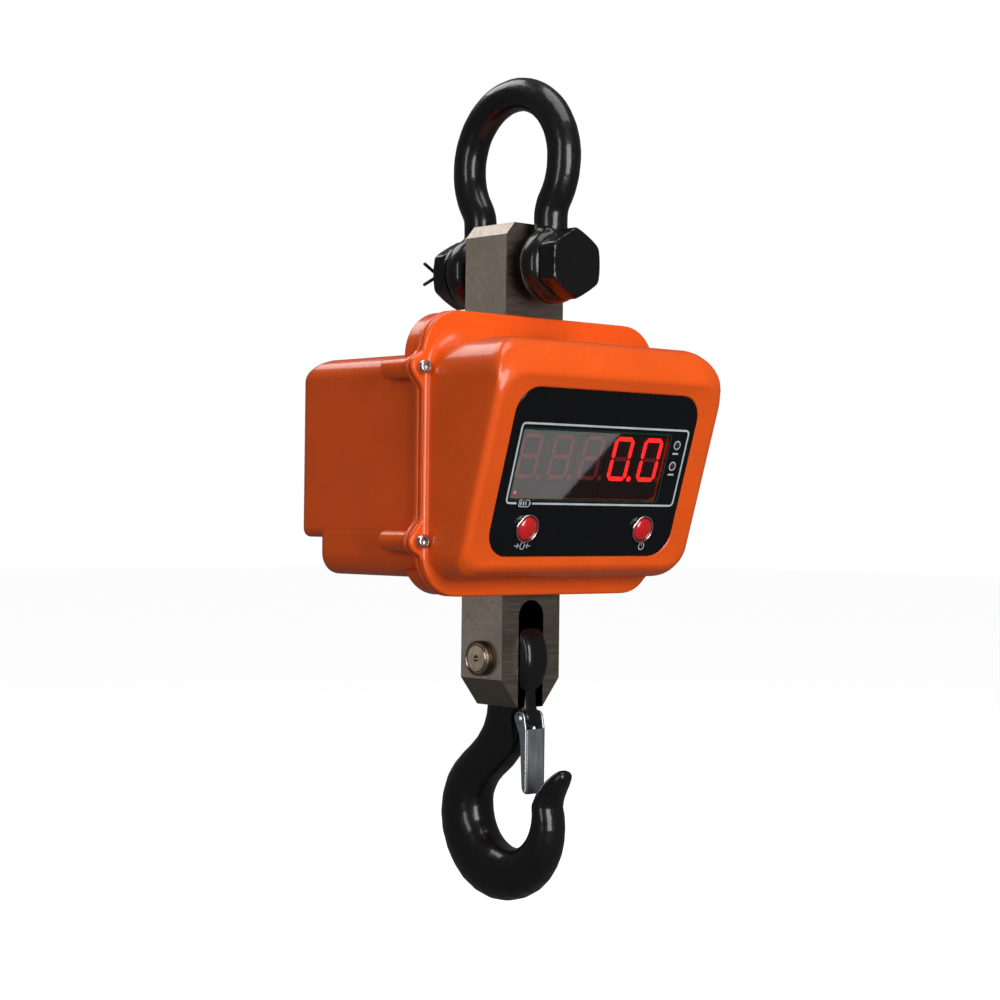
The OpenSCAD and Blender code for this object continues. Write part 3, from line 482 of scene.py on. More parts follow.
def cylinder(start, end, r, n=64):
    start, end = np.array(start, float), np.array(end, float)
    return revolve([(r, 0), (r, np.linalg.norm(end - start))], start, end - start, n)


def shape(name, parts, slot, smooth=35, weighted=True):
    """One object from closed parts in millimetres, faces outwards, with its material."""
    mesh = bpy.data.meshes.new(name)
    bm = bmesh.new()
    for points, faces in parts:
        made = [bm.verts.new(Vector(p) * MM) for p in points]
        for f in faces:
            try:
                bm.faces.new([made[i] for i in f])
            except ValueError:
                pass
    bmesh.ops.remove_doubles(bm, verts=bm.verts, dist=1e-7)
    bmesh.ops.recalc_face_normals(bm, faces=bm.faces)
    bm.to_mesh(mesh)
    bm.free()
    obj = bpy.data.objects.new(name, mesh)
    bpy.context.scene.collection.objects.link(obj)
    finish_mesh(obj, slot, smooth, weighted)
    return obj


def finish_mesh(obj, slot, smooth=35, weighted=True):
    """Smooth faces with sharp edges kept, and the slot's material."""
    obj.data.materials.clear()
    obj.data.materials.append(material_for(slot))
    for polygon in obj.data.polygons:
        polygon.use_smooth = True
    obj.data.set_sharp_from_angle(angle=math.radians(smooth))
    if weighted:
        modifier = obj.modifiers.new("weighted", "WEIGHTED_NORMAL")
        modifier.keep_sharp = True
        modifier.weight = 80
        settle(obj)


def settle(obj):
    """Turns the object and its modifiers into a plain mesh."""
    bpy.context.view_layer.update()
    graph = bpy.context.evaluated_depsgraph_get()
    mesh = bpy.data.meshes.new_from_object(obj.evaluated_get(graph))
    old = obj.data
    obj.modifiers.clear()
    obj.data = mesh
    mesh.name = obj.name
    bpy.data.meshes.remove(old)


def cut(obj, tools):
    """Takes closed shapes away from an object."""
    for k, part in enumerate(tools):
        tool = shape(f"tool_{k}", [part], "black_rubber", weighted=False)
        modifier = obj.modifiers.new("cut", "BOOLEAN")
        modifier.operation = "DIFFERENCE"
        modifier.solver = "EXACT"
        modifier.object = tool
        settle(obj)
        bpy.data.objects.remove(tool)


def soften_edges(obj, width, segments=3, angle=28):
    """Rounds the sharp edges of a hard piece."""
    modifier = obj.modifiers.new("edges", "BEVEL")
    modifier.width = width * MM
    modifier.segments = segments
    modifier.limit_method = "ANGLE"
    modifier.angle_limit = math.radians(angle)
    modifier.miter_outer = "MITER_ARC"
    settle(obj)


def fuse(obj, voxel, rounds):
    """Melts overlapping shapes into one skin and smooths it."""
    remesh = obj.modifiers.new("fuse", "REMESH")
    remesh.mode = "VOXEL"
    remesh.voxel_size = voxel * MM
    smooth = obj.modifiers.new("smooth", "SMOOTH")
    smooth.factor = 0.5
    smooth.iterations = rounds
    settle(obj)


def wander(obj, depth, size):
    """Moves the skin in and out a little, as forging leaves it."""
    mesh = obj.data
    normals = [v.normal.copy() for v in mesh.vertices]
    for v, n in zip(mesh.vertices, normals):
        p = v.co / (size * MM)
        v.co += n * (depth * MM * (noise.noise(p) + 0.5 * noise.noise(p * 2.7)))
    mesh.update()


def hand_over(obj, body, slot, *stands_for):
    """Gives the piece to its body and hides the nodes it stands for; slot is not used."""
    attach(obj, body)
    if stands_for:
        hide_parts(*stands_for)
    return obj


# ---------------------------------------------------------------- shackle

EYE_GAP = 54.0
EYE_W = 17.5
BOLT_D = 25.0
HEX_AF = 40.0
EYE_OUT = EYE_GAP / 2 + EYE_W
NUT_FROM = EYE_OUT + 2
NUT_TO = NUT_FROM + 12
BOLT_END = 67.5
COTTER_Y = 62.5


def tube(stations, soft, n=40):
    """A skin round stations of (y, z, half width, half thickness); soft below 1 squares the section.

    soft is one value or one for each station.
    """
    s = np.array(stations, float)
    soft = np.broadcast_to(soft, len(s))
    turn = np.arange(n) * 2 * math.pi / n
    c, d = np.cos(turn), np.sin(turn)
    rings = []
    for i, (y, z, wide, thick) in enumerate(s):
        along = s[min(i + 1, len(s) - 1), :2] - s[max(i - 1, 0), :2]
        ty, tz = along / np.linalg.norm(along)
        u = wide * np.sign(c) * np.abs(c) ** soft[i]
        rings.append(np.column_stack([thick * np.sign(d) * np.abs(d) ** soft[i], y - tz * u, z + ty * u]))
    return loft(rings)


def bow_stations():
    """The bow's bar, from one eye over the crown to the other."""
    bar_r = mm("bow_bar") / 2
    bow_r = mm("bow_inside") / 2 + bar_r
    centre_z, wrap, leg_y = -mm("bow_inside") / 2, math.radians(35), EYE_GAP / 2 + 6.5
    back_r = (bow_r * math.cos(wrap) - leg_y) / (1 - math.cos(wrap))
    back_y = bow_r * math.cos(wrap) - back_r * (1 - math.cos(wrap)) + back_r
    back_z = centre_z - (bow_r + back_r) * math.sin(wrap)
    half = [(-leg_y - 1.5, BOLT_Z, bar_r - 2, bar_r), (-leg_y, back_z - 8, bar_r, bar_r)]
    half += [(-back_y + back_r * math.cos(wrap * k / 6), back_z + back_r * math.sin(wrap * k / 6), bar_r, bar_r)
             for k in range(7)]
    crown = [(bow_r * math.cos(a), centre_z + bow_r * math.sin(a), bar_r, bar_r)
             for a in np.linspace(math.pi + wrap, -wrap, 44)[1:-1]]
    return half + crown + [(-y, z, w, t) for y, z, w, t in reversed(half)]


class CRANESCALE_OT_shackle(bpy.types.Operator):
    """Forge the bow with its two eyes"""
    bl_idname = "crane_scale.shackle"
    bl_label = "Shackle bow"

    def execute(self, context):
        eye_r = mm("eye_outer") / 2
        profile = softened([(0.5, 0), (eye_r, 0), (eye_r, EYE_W), (0.5, EYE_W)], 8.4, 7)
        eyes = [revolve(profile, (0, side * EYE_GAP / 2, BOLT_Z), (0, side, 0), 96) for side in (-1, 1)]
        bow = shape("bow", [tube(bow_stations(), 1.0)] + eyes, "black_paint", weighted=False)
        fuse(bow, 1.15, 9)
        wander(bow, mm("forge_lumps"), 15)
        cut(bow, [cylinder((0, -EYE_OUT - 2, BOLT_Z), (0, EYE_OUT + 2, BOLT_Z), BOLT_D / 2 + 0.05)])
        finish_mesh(bow, "black_paint", 40, weighted=False)
        hand_over(bow, "shackle", "black_paint", "shackle_bow")
        return {"FINISHED"}


def hex_row(turn, row_r):
    """A hexagon trimmed by a cone's radius."""
    return soft_min(hexagon(turn, HEX_AF / 2), row_r)


class CRANESCALE_OT_bolt(bpy.types.Operator):
    """Make the bolt with its hex head, the nut and the threaded end"""
    bl_idname = "crane_scale.bolt"
    bl_label = "Bolt and nut"

    def execute(self, context):
        head = [(20.6, 0), (22.4, 0.7), (24.5, 2.0), (24.5, 11.6), (23.2, 12.6), (22.0, 13.3), (21.0, 13.7),
                (20.0, 13.95), (18.6, 14), (17.4, 13.9), (9, 13.85), (0.6, 13.85)]
        shaped = range(0, 8)
        part = revolve(head, (0, -EYE_OUT, BOLT_Z), (0, -1, 0), 192,
                       radius=lambda turn, row, r: hex_row(turn, r) if row in shaped else np.full(len(turn), r))
        rows = [(BOLT_D / 2, -EYE_OUT - 1), (BOLT_D / 2, NUT_FROM - 1)]
        y, pitch = NUT_FROM, 2.0
        while y < BOLT_END - 2.4:
            rows += [(BOLT_D / 2, y), (BOLT_D / 2, y + 0.25), (BOLT_D / 2 - 0.95, y + 0.95), (BOLT_D / 2 - 0.95, y + 1.25)]
            y += pitch
        rows += [(BOLT_D / 2, y), (BOLT_D / 2 - 1.6, BOLT_END - 0.2), (BOLT_D / 2 - 2.4, BOLT_END), (0.6, BOLT_END)]
        shank = revolve(rows, (0, 0, BOLT_Z), (0, 1, 0), 72)
        bolt = shape("bolt", [part, shank], "black_bolt", weighted=False)
        cut(bolt, [cylinder((-20, COTTER_Y, BOLT_Z), (20, COTTER_Y, BOLT_Z), 2.1, 32)])
        finish_mesh(bolt, "black_bolt", 24, weighted=False)
        hand_over(bolt, "shackle", "black_bolt", "shackle_bolt")

        nut = [(20.2, NUT_FROM), (22.0, NUT_FROM + 0.9), (24.5, NUT_FROM + 2.2), (24.5, NUT_TO - 2.4),
               (22.2, NUT_TO - 1.2), (20.4, NUT_TO - 0.3), (19.3, NUT_TO), (14.2, NUT_TO), (12.6, NUT_TO - 1.4),
               (12.6, NUT_FROM + 1.4), (14.2, NUT_FROM)]
        part = revolve(nut, (0, 0, BOLT_Z), (0, 1, 0), 192, closed=True,
                       radius=lambda turn, row, r: hex_row(turn, r) if row < 7 else np.full(len(turn), r))
        hand_over(shape("nut", [part], "black_bolt", 24), "shackle", "black_bolt", "shackle_nut")
        return {"FINISHED"}


# ---------------------------------------------------------------- load bar and pin

BAR_TOP = BOLT_Z + 27.5
BAR_FOOT = PIN_Z - 31
SLOT_W = 21.4
SLOT_TOP = PIN_Z + 37.5
GAUGE_Z = BOLT_Z - 125


class CRANESCALE_OT_load_bar(bpy.types.Operator):
    """Machine the load bar and turn the hook's pin"""
    bl_idname = "crane_scale.load_bar"
    bl_label = "Load bar and pin"

    def execute(self, context):
        w, d = mm("bar_width") / 2, mm("bar_depth") / 2
        slot = SLOT_W / 2
        left = [(-w + 14.3, BAR_FOOT), (-w, PIN_Z - 13), (-w, BAR_TOP - 8), (-w + 7, BAR_TOP)]
        arch = [(slot * math.cos(a), SLOT_TOP - slot + slot * math.sin(a)) for a in np.linspace(0, math.pi, 25)]
        outline = left + [(-x, z) for x, z in reversed(left)] + [(slot + 0.02, BAR_FOOT)] + arch + [(-slot - 0.02, BAR_FOOT)]
        bar = shape("bar", [prism(outline, -d, d)], "nickel_steel", weighted=False)
        tools = []
        for side, start, depth in ((-1, 24, 6), (1, 18, 16)):
            y = side * d
            wedge = [(y + side * 3, PIN_Z - start + 3 * (31 - start) / depth), (y + side * 3, BAR_FOOT - 5),
                     (y - side * depth * 1.3, BAR_FOOT - 5), (y - side * depth, BAR_FOOT), (y, PIN_Z - start)]
            tools.append(loft([[(x, p, q) for p, q in wedge] for x in (-w - 5, w + 5)]))
        tools.append(cylinder((0, -d - 2, BOLT_Z), (0, d + 2, BOLT_Z), BOLT_D / 2 + 0.3))
        tools.append(cylinder((-w - 2, 0, PIN_Z), (w + 2, 0, PIN_Z), 9.55))
        tools += [cylinder((s * (w - 9), 0, GAUGE_Z), (s * (w + 2), 0, GAUGE_Z), 16) for s in (-1, 1)]
        cut(bar, tools)
        soften_edges(bar, 0.65)
        finish_mesh(bar, "nickel_steel", 35)
        hand_over(bar, "scale", "nickel_steel", "load_bar")

        rows = [(7.6, -29), (8.6, -29), (9.5, -28.2), (9.5, -27), (8.7, -27), (8.7, -25.6), (9.5, -25.6), (9.5, w),
                (10.9, w), (11.35, w + 0.4), (11.35, w + 3.2), (11.1, w + 3.9), (10.5, w + 4.4), (9.9, w + 4.55),
                (9.4, w + 4.3), (9.1, w + 3.9), (8.8, w + 3.95), (8.4, w + 4.3), (7.8, w + 4.45), (2.4, w + 4.5),
                (2.0, w + 4.4), (1.5, w + 3.6), (0.4, w + 2.8)]
        pin = shape("hook_pin_turned", [revolve(rows, (0, 0, PIN_Z), (-1, 0, 0), 96)], "turned_steel", 30)
        hand_over(pin, "scale", "turned_steel", "hook_pin")
        return {"FINISHED"}


# ---------------------------------------------------------------- hook and gate

HOOK_Y = -4.0
HOOK_Z = PIN_Z - 98


def hook_stations():
    """The hook's body from the neck round the bowl to the tip."""
    half_t = mm("hook_thickness") / 2
    neck = [(0, PIN_Z - 9, 22, 8.6), (-0.3, PIN_Z - 20, 19.6, 9), (-2.2, PIN_Z - 31, 18.2, 9.4),
            (-3, PIN_Z - 42, 17, 9.8), (3.2, PIN_Z - 53, 17, 11)]
    bowl = []
    for a in np.radians(np.linspace(62, -190, 23)):
        outer = 52 + 11.5 * math.cos(a + math.radians(34))
        inner = 24.5 + 2 * max(math.cos(a), 0) ** 2
        r, w = (outer + inner) / 2, (outer - inner) / 2
        bowl.append((HOOK_Y + r * math.cos(a), HOOK_Z + r * math.sin(a), w, half_t * (0.4 + 0.6 * w / 18.5)))
    tip = [tuple(np.add(bowl[-1], step)) for step in
           ((-2.6, 6.4, -0.8, -0.7), (-7.6, 13, -2.1, -1.9), (-12.8, 18.4, -3.5, -3.3), (-16, 21.4, -4.8, -4.9),
            (-17.4, 22.6, -6.8, -7.3))]
    s = np.array(neck + bowl + tip)
    for _ in range(2):
        s[3:9] = 0.25 * s[2:8] + 0.5 * s[3:9] + 0.25 * s[4:10]
    return s


def gate_side(x0, x1):
    """One ear of the gate, round at the pin and running down its edge."""
    arc = [(4.8 * math.cos(a), 4.8 * math.sin(a)) for a in np.linspace(math.radians(-100), math.radians(-262), 14)]
    outline = arc + [(5, 2.6), (10, 0), (18, -1), (44, -2.6), (46.5, -4.2), (47, -6.2), (7, -6.2), (4, -5.6)]
    return loft([[(x, GATE_Y + b, GATE_Z - a) for a, b in outline] for x in (x0, x1)])


class CRANESCALE_OT_hook(bpy.types.Operator):
    """Forge the eye hook and press its gate"""
    bl_idname = "crane_scale.hook"
    bl_label = "Hook and gate"

    def execute(self, context):
        eye = softened([(0.5, -10), (27.5, -10), (27.5, 10), (0.5, 10)], 5.2, 5)
        boss = cylinder((-6.5, GATE_Y, GATE_Z), (6.5, GATE_Y, GATE_Z), 5.5)
        stations = hook_stations()
        soft = np.interp(np.arange(len(stations)), [0, 2, 7], [0.55, 0.6, 0.9])
        hook = shape("hook_forging", [tube(stations, soft, 48), revolve(eye, (0, 0, PIN_Z), (1, 0, 0), 96), boss],
                     "black_paint", weighted=False)
        fuse(hook, 1.15, 6)
        wander(hook, mm("forge_lumps") * 1.1, 17)
        tools = [cylinder((-20, 0, PIN_Z), (20, 0, PIN_Z), 9.8), cylinder((-20, GATE_Y, GATE_Z), (20, GATE_Y, GATE_Z), 2.03, 32)]
        notch = [(7.3 * math.cos(a), 7.3 * math.sin(a)) for a in np.linspace(math.radians(75), math.radians(265), 24)]
        notch += [(12.5 + 5 * math.cos(a), 2.4 + 5 * math.sin(a)) for a in np.linspace(math.radians(-95), math.radians(75), 16)]
        for s in (-1, 1):
            tools.append(loft([[(x, GATE_Y + b, GATE_Z - a) for a, b in notch] for x in (s * 6.5, s * 9.3)]))
        cut(hook, tools)
        finish_mesh(hook, "black_paint", 40, weighted=False)
        hand_over(hook, "hook", "black_paint", "hook")

        rings = []
        for down, half, rear in ((6.6, 8.0, -4.5), (7.4, 8.5, -3.8), (12, 8.5, -3), (20, 8.5, -2), (30, 8.5, -2.2), (42, 8.5, -2.8),
                                 (45, 8.4, -3.2), (46.8, 7.9, -4.0), (47.8, 7.0, -4.9)):
            z, inner = GATE_Z - down, half - 1.6
            outer = [(-half, rear), (-half, -4.6), (-half + 0.5, -5.8), (-half + 1.8, -6.4)]
            inside = [(-inner, rear), (-inner, -4.4), (-inner + 0.2, -4.7), (-inner + 0.6, -4.8)]
            path = outer + [(-x, y) for x, y in reversed(outer)] + [(-x, y) for x, y in inside] + list(reversed(inside))
            rings.append([(x, GATE_Y + y, z) for x, y in path])
        gate = shape("gate_pressing", [loft(rings), gate_side(-8.5, -6.9), gate_side(6.9, 8.5)], "zinc_plate", weighted=False)
        fuse(gate, 0.36, 5)
        cut(gate, [cylinder((-12, GATE_Y, GATE_Z), (12, GATE_Y, GATE_Z), 2.1, 32)])
        finish_mesh(gate, "zinc_plate", 50, weighted=False)
        hand_over(gate, "gate", "zinc_plate", "gate")
        return {"FINISHED"}


# ---------------------------------------------------------------- housing

BOX_TOP = BOLT_Z - 51.5
BOX_LOW = BOLT_Z - 197.5
FLANGE_TOP = BOLT_Z - 33
FLANGE_LOW = BOLT_Z - 209
SCREWS = [(sx * 102, z) for sx in (-1, 1) for z in (BOLT_Z - 69.5, BOLT_Z - 175)]
EAR_R = 8.0
REAR_TOP = BOX_TOP - 8
BATTERY_LOW = BOLT_Z - 174
WALL = 3.5
FACE_H = 127.0
WINDOW = (-5.5, 64.0, 37.0, 82.0)


def flange_outline(n=420):
    """The joint's outline: a rounded plate with a round ear at each screw."""
    half_w, half_h, r = mm("flange_width") / 2, (FLANGE_TOP - FLANGE_LOW) / 2, 28.0
    mid = (FLANGE_TOP + FLANGE_LOW) / 2
    turn = np.arange(n) * 2 * math.pi / n
    c, s = np.cos(turn), np.sin(turn)
    reach = np.minimum(half_w / np.maximum(np.abs(c), 1e-9), half_h / np.maximum(np.abs(s), 1e-9))
    ax, az = half_w - r, half_h - r
    corner = (np.abs(c) * reach > ax) & (np.abs(s) * reach > az)
    along = np.abs(c) * ax + np.abs(s) * az
    arc = along + np.sqrt(np.maximum(r * r - (ax * ax + az * az - along ** 2), 0))
    reach = np.where(corner, arc, reach)
    for x, z in SCREWS:
        away, at = math.hypot(x, z - mid), math.atan2(z - mid, x)
        off = away * np.sin(turn - at)
        hit = (np.abs(off) < EAR_R) & (np.cos(turn - at) > 0)
        ear = away * np.cos(turn - at) + np.sqrt(np.maximum(EAR_R ** 2 - off ** 2, 0))
        reach = np.where(hit, np.maximum(reach, ear), reach)
    for _ in range(3):
        reach = (np.roll(reach, 1) + 2 * reach + np.roll(reach, -1)) / 4
    return facing(np.column_stack([reach * c, mid + reach * s]))


def front_outline(inset=0.0):
    return round_box(mm("box_width") / 2 - inset, BOX_TOP - inset, BOX_LOW + inset, 24 - inset, 16 - inset)


def facewise(half_w, top, low, r_top, r_low, u=0.0):
    """A round-cornered outline on the face, v counted down the slope."""
    outline = round_box(half_w, -top, -low, r_top, r_low)
    outline[:, 0] += u
    return outline


def face_ring(outline, w):
    flipped = outline.copy()
    flipped[:, 1] *= -1
    return on_face(flipped, w)


def edge_y(outline, extra=0.0):
    """Depth of the box's front edge, which leans with the face."""
    s = np.sin(outline[:, 2])
    depth = 3.5 + 12.5 * np.maximum(s, 0) ** 2 + 3.5 * np.maximum(-s, 0) ** 2
    return -FACE_Y + (FACE_Z - outline[:, 1]) * math.tan(TILT) + depth + extra


def bend(before, corner, after, steps=5):
    """Rings that round the corner between two others."""
    return [before * (1 - t) ** 2 + corner * 2 * t * (1 - t) + after * t ** 2
            for t in np.linspace(0, 1, steps + 1)]


class CRANESCALE_OT_front_case(bpy.types.Operator):
    """Cast the front half of the housing with its sunken face"""
    bl_idname = "crane_scale.front_case"
    bl_label = "Front case"

    def execute(self, context):
        box = front_outline()
        s = np.sin(box[:, 2])
        wide = 3.2 + 4.5 * np.maximum(s, 0) ** 2 + 3.0 * np.maximum(-s, 0) ** 2
        rings = [upright(grow(box, wide * (1 - math.sin(a))), -30 - wide * (1 - math.cos(a))) for a in arc_steps(5)]
        wall = upright(box, edge_y(box, 9))
        edge = upright(box, edge_y(box))
        rim = face_ring(facewise(95.8, 0, FACE_H, 19.4, 15.3), 0)
        near = edge + 0.36 * (rim - edge)
        rings += bend(wall, edge, near)
        rise = mm("rim_rise")
        crest = face_ring(facewise(92.2, 3.4, FACE_H - 3.2, 17.5, 13.5), rise)
        rings += bend(edge + 0.62 * (rim - edge), rim + 0.5 * rise * FACE_OUT, crest)
        half = PANEL_W / 2
        low = PANEL_TOP + 106.5
        rings += [face_ring(facewise(90.6, 4.9, FACE_H - 4.6, 17.5, 13.0), rise * 0.92),
                  face_ring(facewise(88.6, 6.4, FACE_H - 5.8, 17.5, 13.5), rise * 0.62),
                  face_ring(facewise(half + 1.6, PANEL_TOP - 1.4, low + 1.2, 18, 18), 0.22),
                  face_ring(facewise(half + 0.7, PANEL_TOP - 0.7, low + 0.7, 17.6, 17.6), 0.1),
                  face_ring(facewise(half + 0.15, PANEL_TOP - 0.15, low + 0.15, 17.1, 17.1), -0.35),
                  face_ring(facewise(half, PANEL_TOP, low, 17, 17), -1.5)]
        u, half_window, top, bottom = WINDOW
        hole = facewise(half_window - 0.6, top + 0.6, bottom - 0.6, 2.4, 2.4, u)
        rings += [face_ring(hole, -1.5), face_ring(hole, -5)]
        inner = front_outline(WALL)
        rings += [face_ring(facewise(92.3, 3, FACE_H - 4, 16, 13), -5), upright(inner, edge_y(inner, WALL + 1)),
                  upright(inner, -26)]
        rings += [upright(grow(box, wide), -26)]
        case = shape("front_case", [loft(rings, closed=True)], "orange_paint", 30, weighted=True)
        hand_over(case, "scale", "orange_paint", "front_cover")

        outline = flange_outline()
        flange = shape("front_flange", [plate(outline, -30, -25.7, 1.7)], "orange_paint", 40)
        hollow = front_outline(WALL)
        cut(flange, [plate(hollow, -34, -20, 0.1)] + [cylinder((x, -35, z), (x, -20, z), 2.75, 32) for x, z in SCREWS])
        finish_mesh(flange, "orange_paint", 40)
        hand_over(flange, "scale", "orange_paint", "front_cover")

        gasket = shape("joint_gasket", [plate(grow(outline, -1.6), -25.9, -25.1, 0.1)], "black_rubber", 40)
        cut(gasket, [plate(hollow, -34, -20, 0.1)])
        finish_mesh(gasket, "black_rubber", 40)
        hand_over(gasket, "scale", "black_rubber", "cover_gasket")
        return {"FINISHED"}


def softened_block(outline, y0, y1, soft, limit=None):
    """A block along Y whose far edge is rounded by its own amount at each point."""
    def ring(by, y):
        grown = grow(outline, by)
        if limit:
            grown[:, 1] = limit(grown[:, 1])
        return upright(grown, y)
    soft = np.broadcast_to(soft, len(outline)).astype(float)
    rings = [ring(0, np.full(len(outline), y0))]
    rings += [ring(-soft * (1 - math.cos(a)), y1 - soft * (1 - math.sin(a))) for a in arc_steps(7)]
    return loft(rings)


class CRANESCALE_OT_rear_case(bpy.types.Operator):
    """Cast the rear half of the housing, deep where the battery sits"""
    bl_idname = "crane_scale.rear_case"
    bl_label = "Rear case"

    def execute(self, context):
        half, flange = mm("box_width") / 2, mm("flange_width") / 2 - 0.8
        deep = round_box(half, REAR_TOP, BATTERY_LOW, 14, 6.5)
        low = round_box(half, BATTERY_LOW + 12, BOX_LOW, 9, 14)
        s = np.sin(deep[:, 2])
        deep_soft = 8 + 12 * np.maximum(s, 0) ** 2 - 3 * np.maximum(-s, 0) ** 2
        low_soft = 8 - 2 * np.maximum(-np.sin(low[:, 2]), 0) ** 2
        hump = round_box(flange, FLANGE_TOP - 0.8, FLANGE_LOW + 0.8, 27.2, 27.2, 14)
        case = shape("rear_case", [softened_block(deep, -24, 99, deep_soft)], "orange_paint", weighted=False)
        parts = [softened_block(low, -24, 79, low_soft),
                 softened_block(hump, -24, -9, 2.6, lambda z: np.maximum(z, REAR_TOP - 4)),
                 softened_block(hump, -24, -9, 2.0, lambda z: np.minimum(z, BOX_LOW + 5)),
                 softened_block(round_box(38, FLANGE_TOP - 4, REAR_TOP - 20, 10, 10), -24, 28.5, 2.4),
                 plate(flange_outline(), -25.3, -21, 1.4)]
        for x, z in SCREWS:
            rows = softened([(0.4, 0), (6.5, 0), (6.5, 27), (0.4, 27)], 1.6)
            parts.append(revolve(rows, (x, -24, z), (0, 1, 0), 40))
        self.join(case, parts)
        tools = [softened_block(round_box(half - WALL, REAR_TOP - WALL, BATTERY_LOW + WALL, 11, 4), -40, 99 - WALL,
                                np.maximum(deep_soft - WALL, 3)),
                 softened_block(round_box(half - WALL, BATTERY_LOW + 10, BOX_LOW + WALL, 2, 11), -40, 79 - WALL,
                                1.5),
                 softened_block(round_box(34.5, FLANGE_TOP - 7.5, REAR_TOP - 20, 7, 7), -40, 25, 1)]
        w, d = mm("bar_width") / 2 + 3, mm("bar_depth") / 2 + 3
        for z0, z1 in ((REAR_TOP - 40, REAR_TOP + 50), (FLANGE_LOW - 2, BOX_LOW + 20)):
            tools.append(plate(round_box(w, z1, z0, 1.5, 1.5, 3), -d, d, 0.3))
        cut(case, tools)
        finish_mesh(case, "orange_paint", 35)
        hand_over(case, "scale", "orange_paint", "rear_cover")

        z = BOLT_Z - 116.5
        door = shape("battery_door_cast", [plate(round_box(64, z + 45, z - 45, 6, 6), 100, 102.3, 0.7)] +
                     [plate(round_box(44, z + v + 1.1, z + v - 1.1, 1, 1, 4), 101.5, 103, 0.5) for v in (-14, -7, 0, 7, 14)],
                     "orange_paint", 40)
        hand_over(door, "scale", "orange_paint", "battery_door")
        return {"FINISHED"}

    def join(self, case, parts):
        for k, part in enumerate(parts):
            other = shape(f"joined_{k}", [part], "orange_paint", weighted=False)
            modifier = case.modifiers.new("join", "BOOLEAN")
            modifier.operation = "UNION"
            modifier.solver = "EXACT"
            modifier.object = other
            settle(case)
            bpy.data.objects.remove(other)


# ---------------------------------------------------------------- what repeats

def spread_tree(name):
    """Geometry Nodes that stand one template on every point, at a size and a turn."""
    tree = bpy.data.node_groups.new(name, "GeometryNodeTree")
    tree.interface.new_socket("Geometry", in_out="OUTPUT", socket_type="NodeSocketGeometry")
    for label, kind, text in (("Spots", "Geometry", "Points that each get one"), ("Template", "Object", "What stands there"),
                              ("Size", "Vector", "Scale of the template"), ("Turn", "Vector", "Its rotation"),
                              ("Material", "Material", "Its finish")):
        tree.interface.new_socket(label, in_out="INPUT", socket_type="NodeSocket" + kind, description=text)
    given = node(tree, "NodeGroupInput")
    info = node(tree, "GeometryNodeObjectInfo", {"Object": given.outputs["Template"]}, transform_space="ORIGINAL")
    stand = node(tree, "GeometryNodeInstanceOnPoints", {"Points": given.outputs["Spots"],
                                                         "Instance": info.outputs["Geometry"],
                                                         "Rotation": given.outputs["Turn"],
                                                         "Scale": given.outputs["Size"]})
    real = node(tree, "GeometryNodeRealizeInstances", {"Geometry": stand.outputs[0]})
    paint = node(tree, "GeometryNodeSetMaterial", {"Geometry": real.outputs[0], "Material": given.outputs["Material"]})
    out = node(tree, "NodeGroupOutput")
    tree.links.new(paint.outputs[0], out.inputs[0])
    return tree


def repeat(name, template_parts, spots, slot, size=(1, 1, 1), turn=(0, 0, 0), smooth=35):
    """One object with the template's shape on every spot, in millimetres."""
    template = shape(name + "_template", template_parts, slot, smooth, weighted=False)
    mesh = bpy.data.meshes.new(name)
    mesh.from_pydata([Vector(p) * MM for p in spots], [], [])
    obj = bpy.data.objects.new(name, mesh)
    bpy.context.scene.collection.objects.link(obj)
    tree = bpy.data.node_groups.get("stand_on_spots") or spread_tree("stand_on_spots")
    modifier = obj.modifiers.new("stand", "NODES")
    modifier.node_group = tree
    values = {"Template": template, "Size": size, "Turn": turn, "Material": material_for(slot)}
    for socket in tree.interface.items_tree:
        if socket.in_out == "INPUT" and socket.name in values:
            value = values[socket.name]
            modifier[socket.identifier] = value if not isinstance(value, tuple) else [float(v) for v in value]
    settle(obj)
    bpy.data.objects.remove(template)
    finish_mesh(obj, slot, smooth)
    return obj


def cap_screw(shank, head_d, head_h, length):
    """A socket head screw standing on the origin along +Z."""
    r = head_d / 2
    outside = [(0.3, -length), (shank / 2 - 0.4, -length), (shank / 2, -length + 0.5), (shank / 2, 0), (r - 0.3, 0), (r, 0.3),
               (r, head_h - 0.7), (r - 0.25, head_h - 0.25), (r - 0.8, head_h), (r * 0.62, head_h)]
    key = shank * 0.46
    rows = outside + [(key * 1.12, head_h - 0.05), (key, head_h - 0.4), (key, head_h * 0.42), (0.2, head_h * 0.35)]
    first = len(outside)

    def hexed(turn, row, radius):
        return hexagon(turn, radius) if row in (first, first + 1, first + 2) else np.full(len(turn), float(radius))
    return revolve(rows, (0, 0, 0), (0, 0, 1), 48, radius=hexed)


class CRANESCALE_OT_screws(bpy.types.Operator):
    """Set the screws of the housing and of the battery door"""
    bl_idname = "crane_scale.screws"
    bl_label = "Screws"

    def execute(self, context):
        front = repeat("case_screws", [cap_screw(4.6, 8.5, 5, 24)], [(x, -30.05, z) for x, z in SCREWS], "stainless",
                       turn=(math.pi / 2, 0, 0))
        hand_over(front, "scale", "stainless", "cover_screws")
        z = BOLT_Z - 116.5
        back = repeat("door_cap_screws", [cap_screw(3, 5.5, 2.4, 9)],
                      [(sx * 60, 102.35, z + sz * 41) for sx in (-1, 1) for sz in (-1, 1)], "stainless",
                      turn=(-math.pi / 2, 0, 0))
        hand_over(back, "scale", "stainless", "door_screws")
        return {"FINISHED"}


# ---------------------------------------------------------------- readout and panel

FIRST_DIGIT = -57.0
DIGITS = 5
DIGIT_V = 55.0
DIGIT_W = -3.15
PRINT_W = 0.02


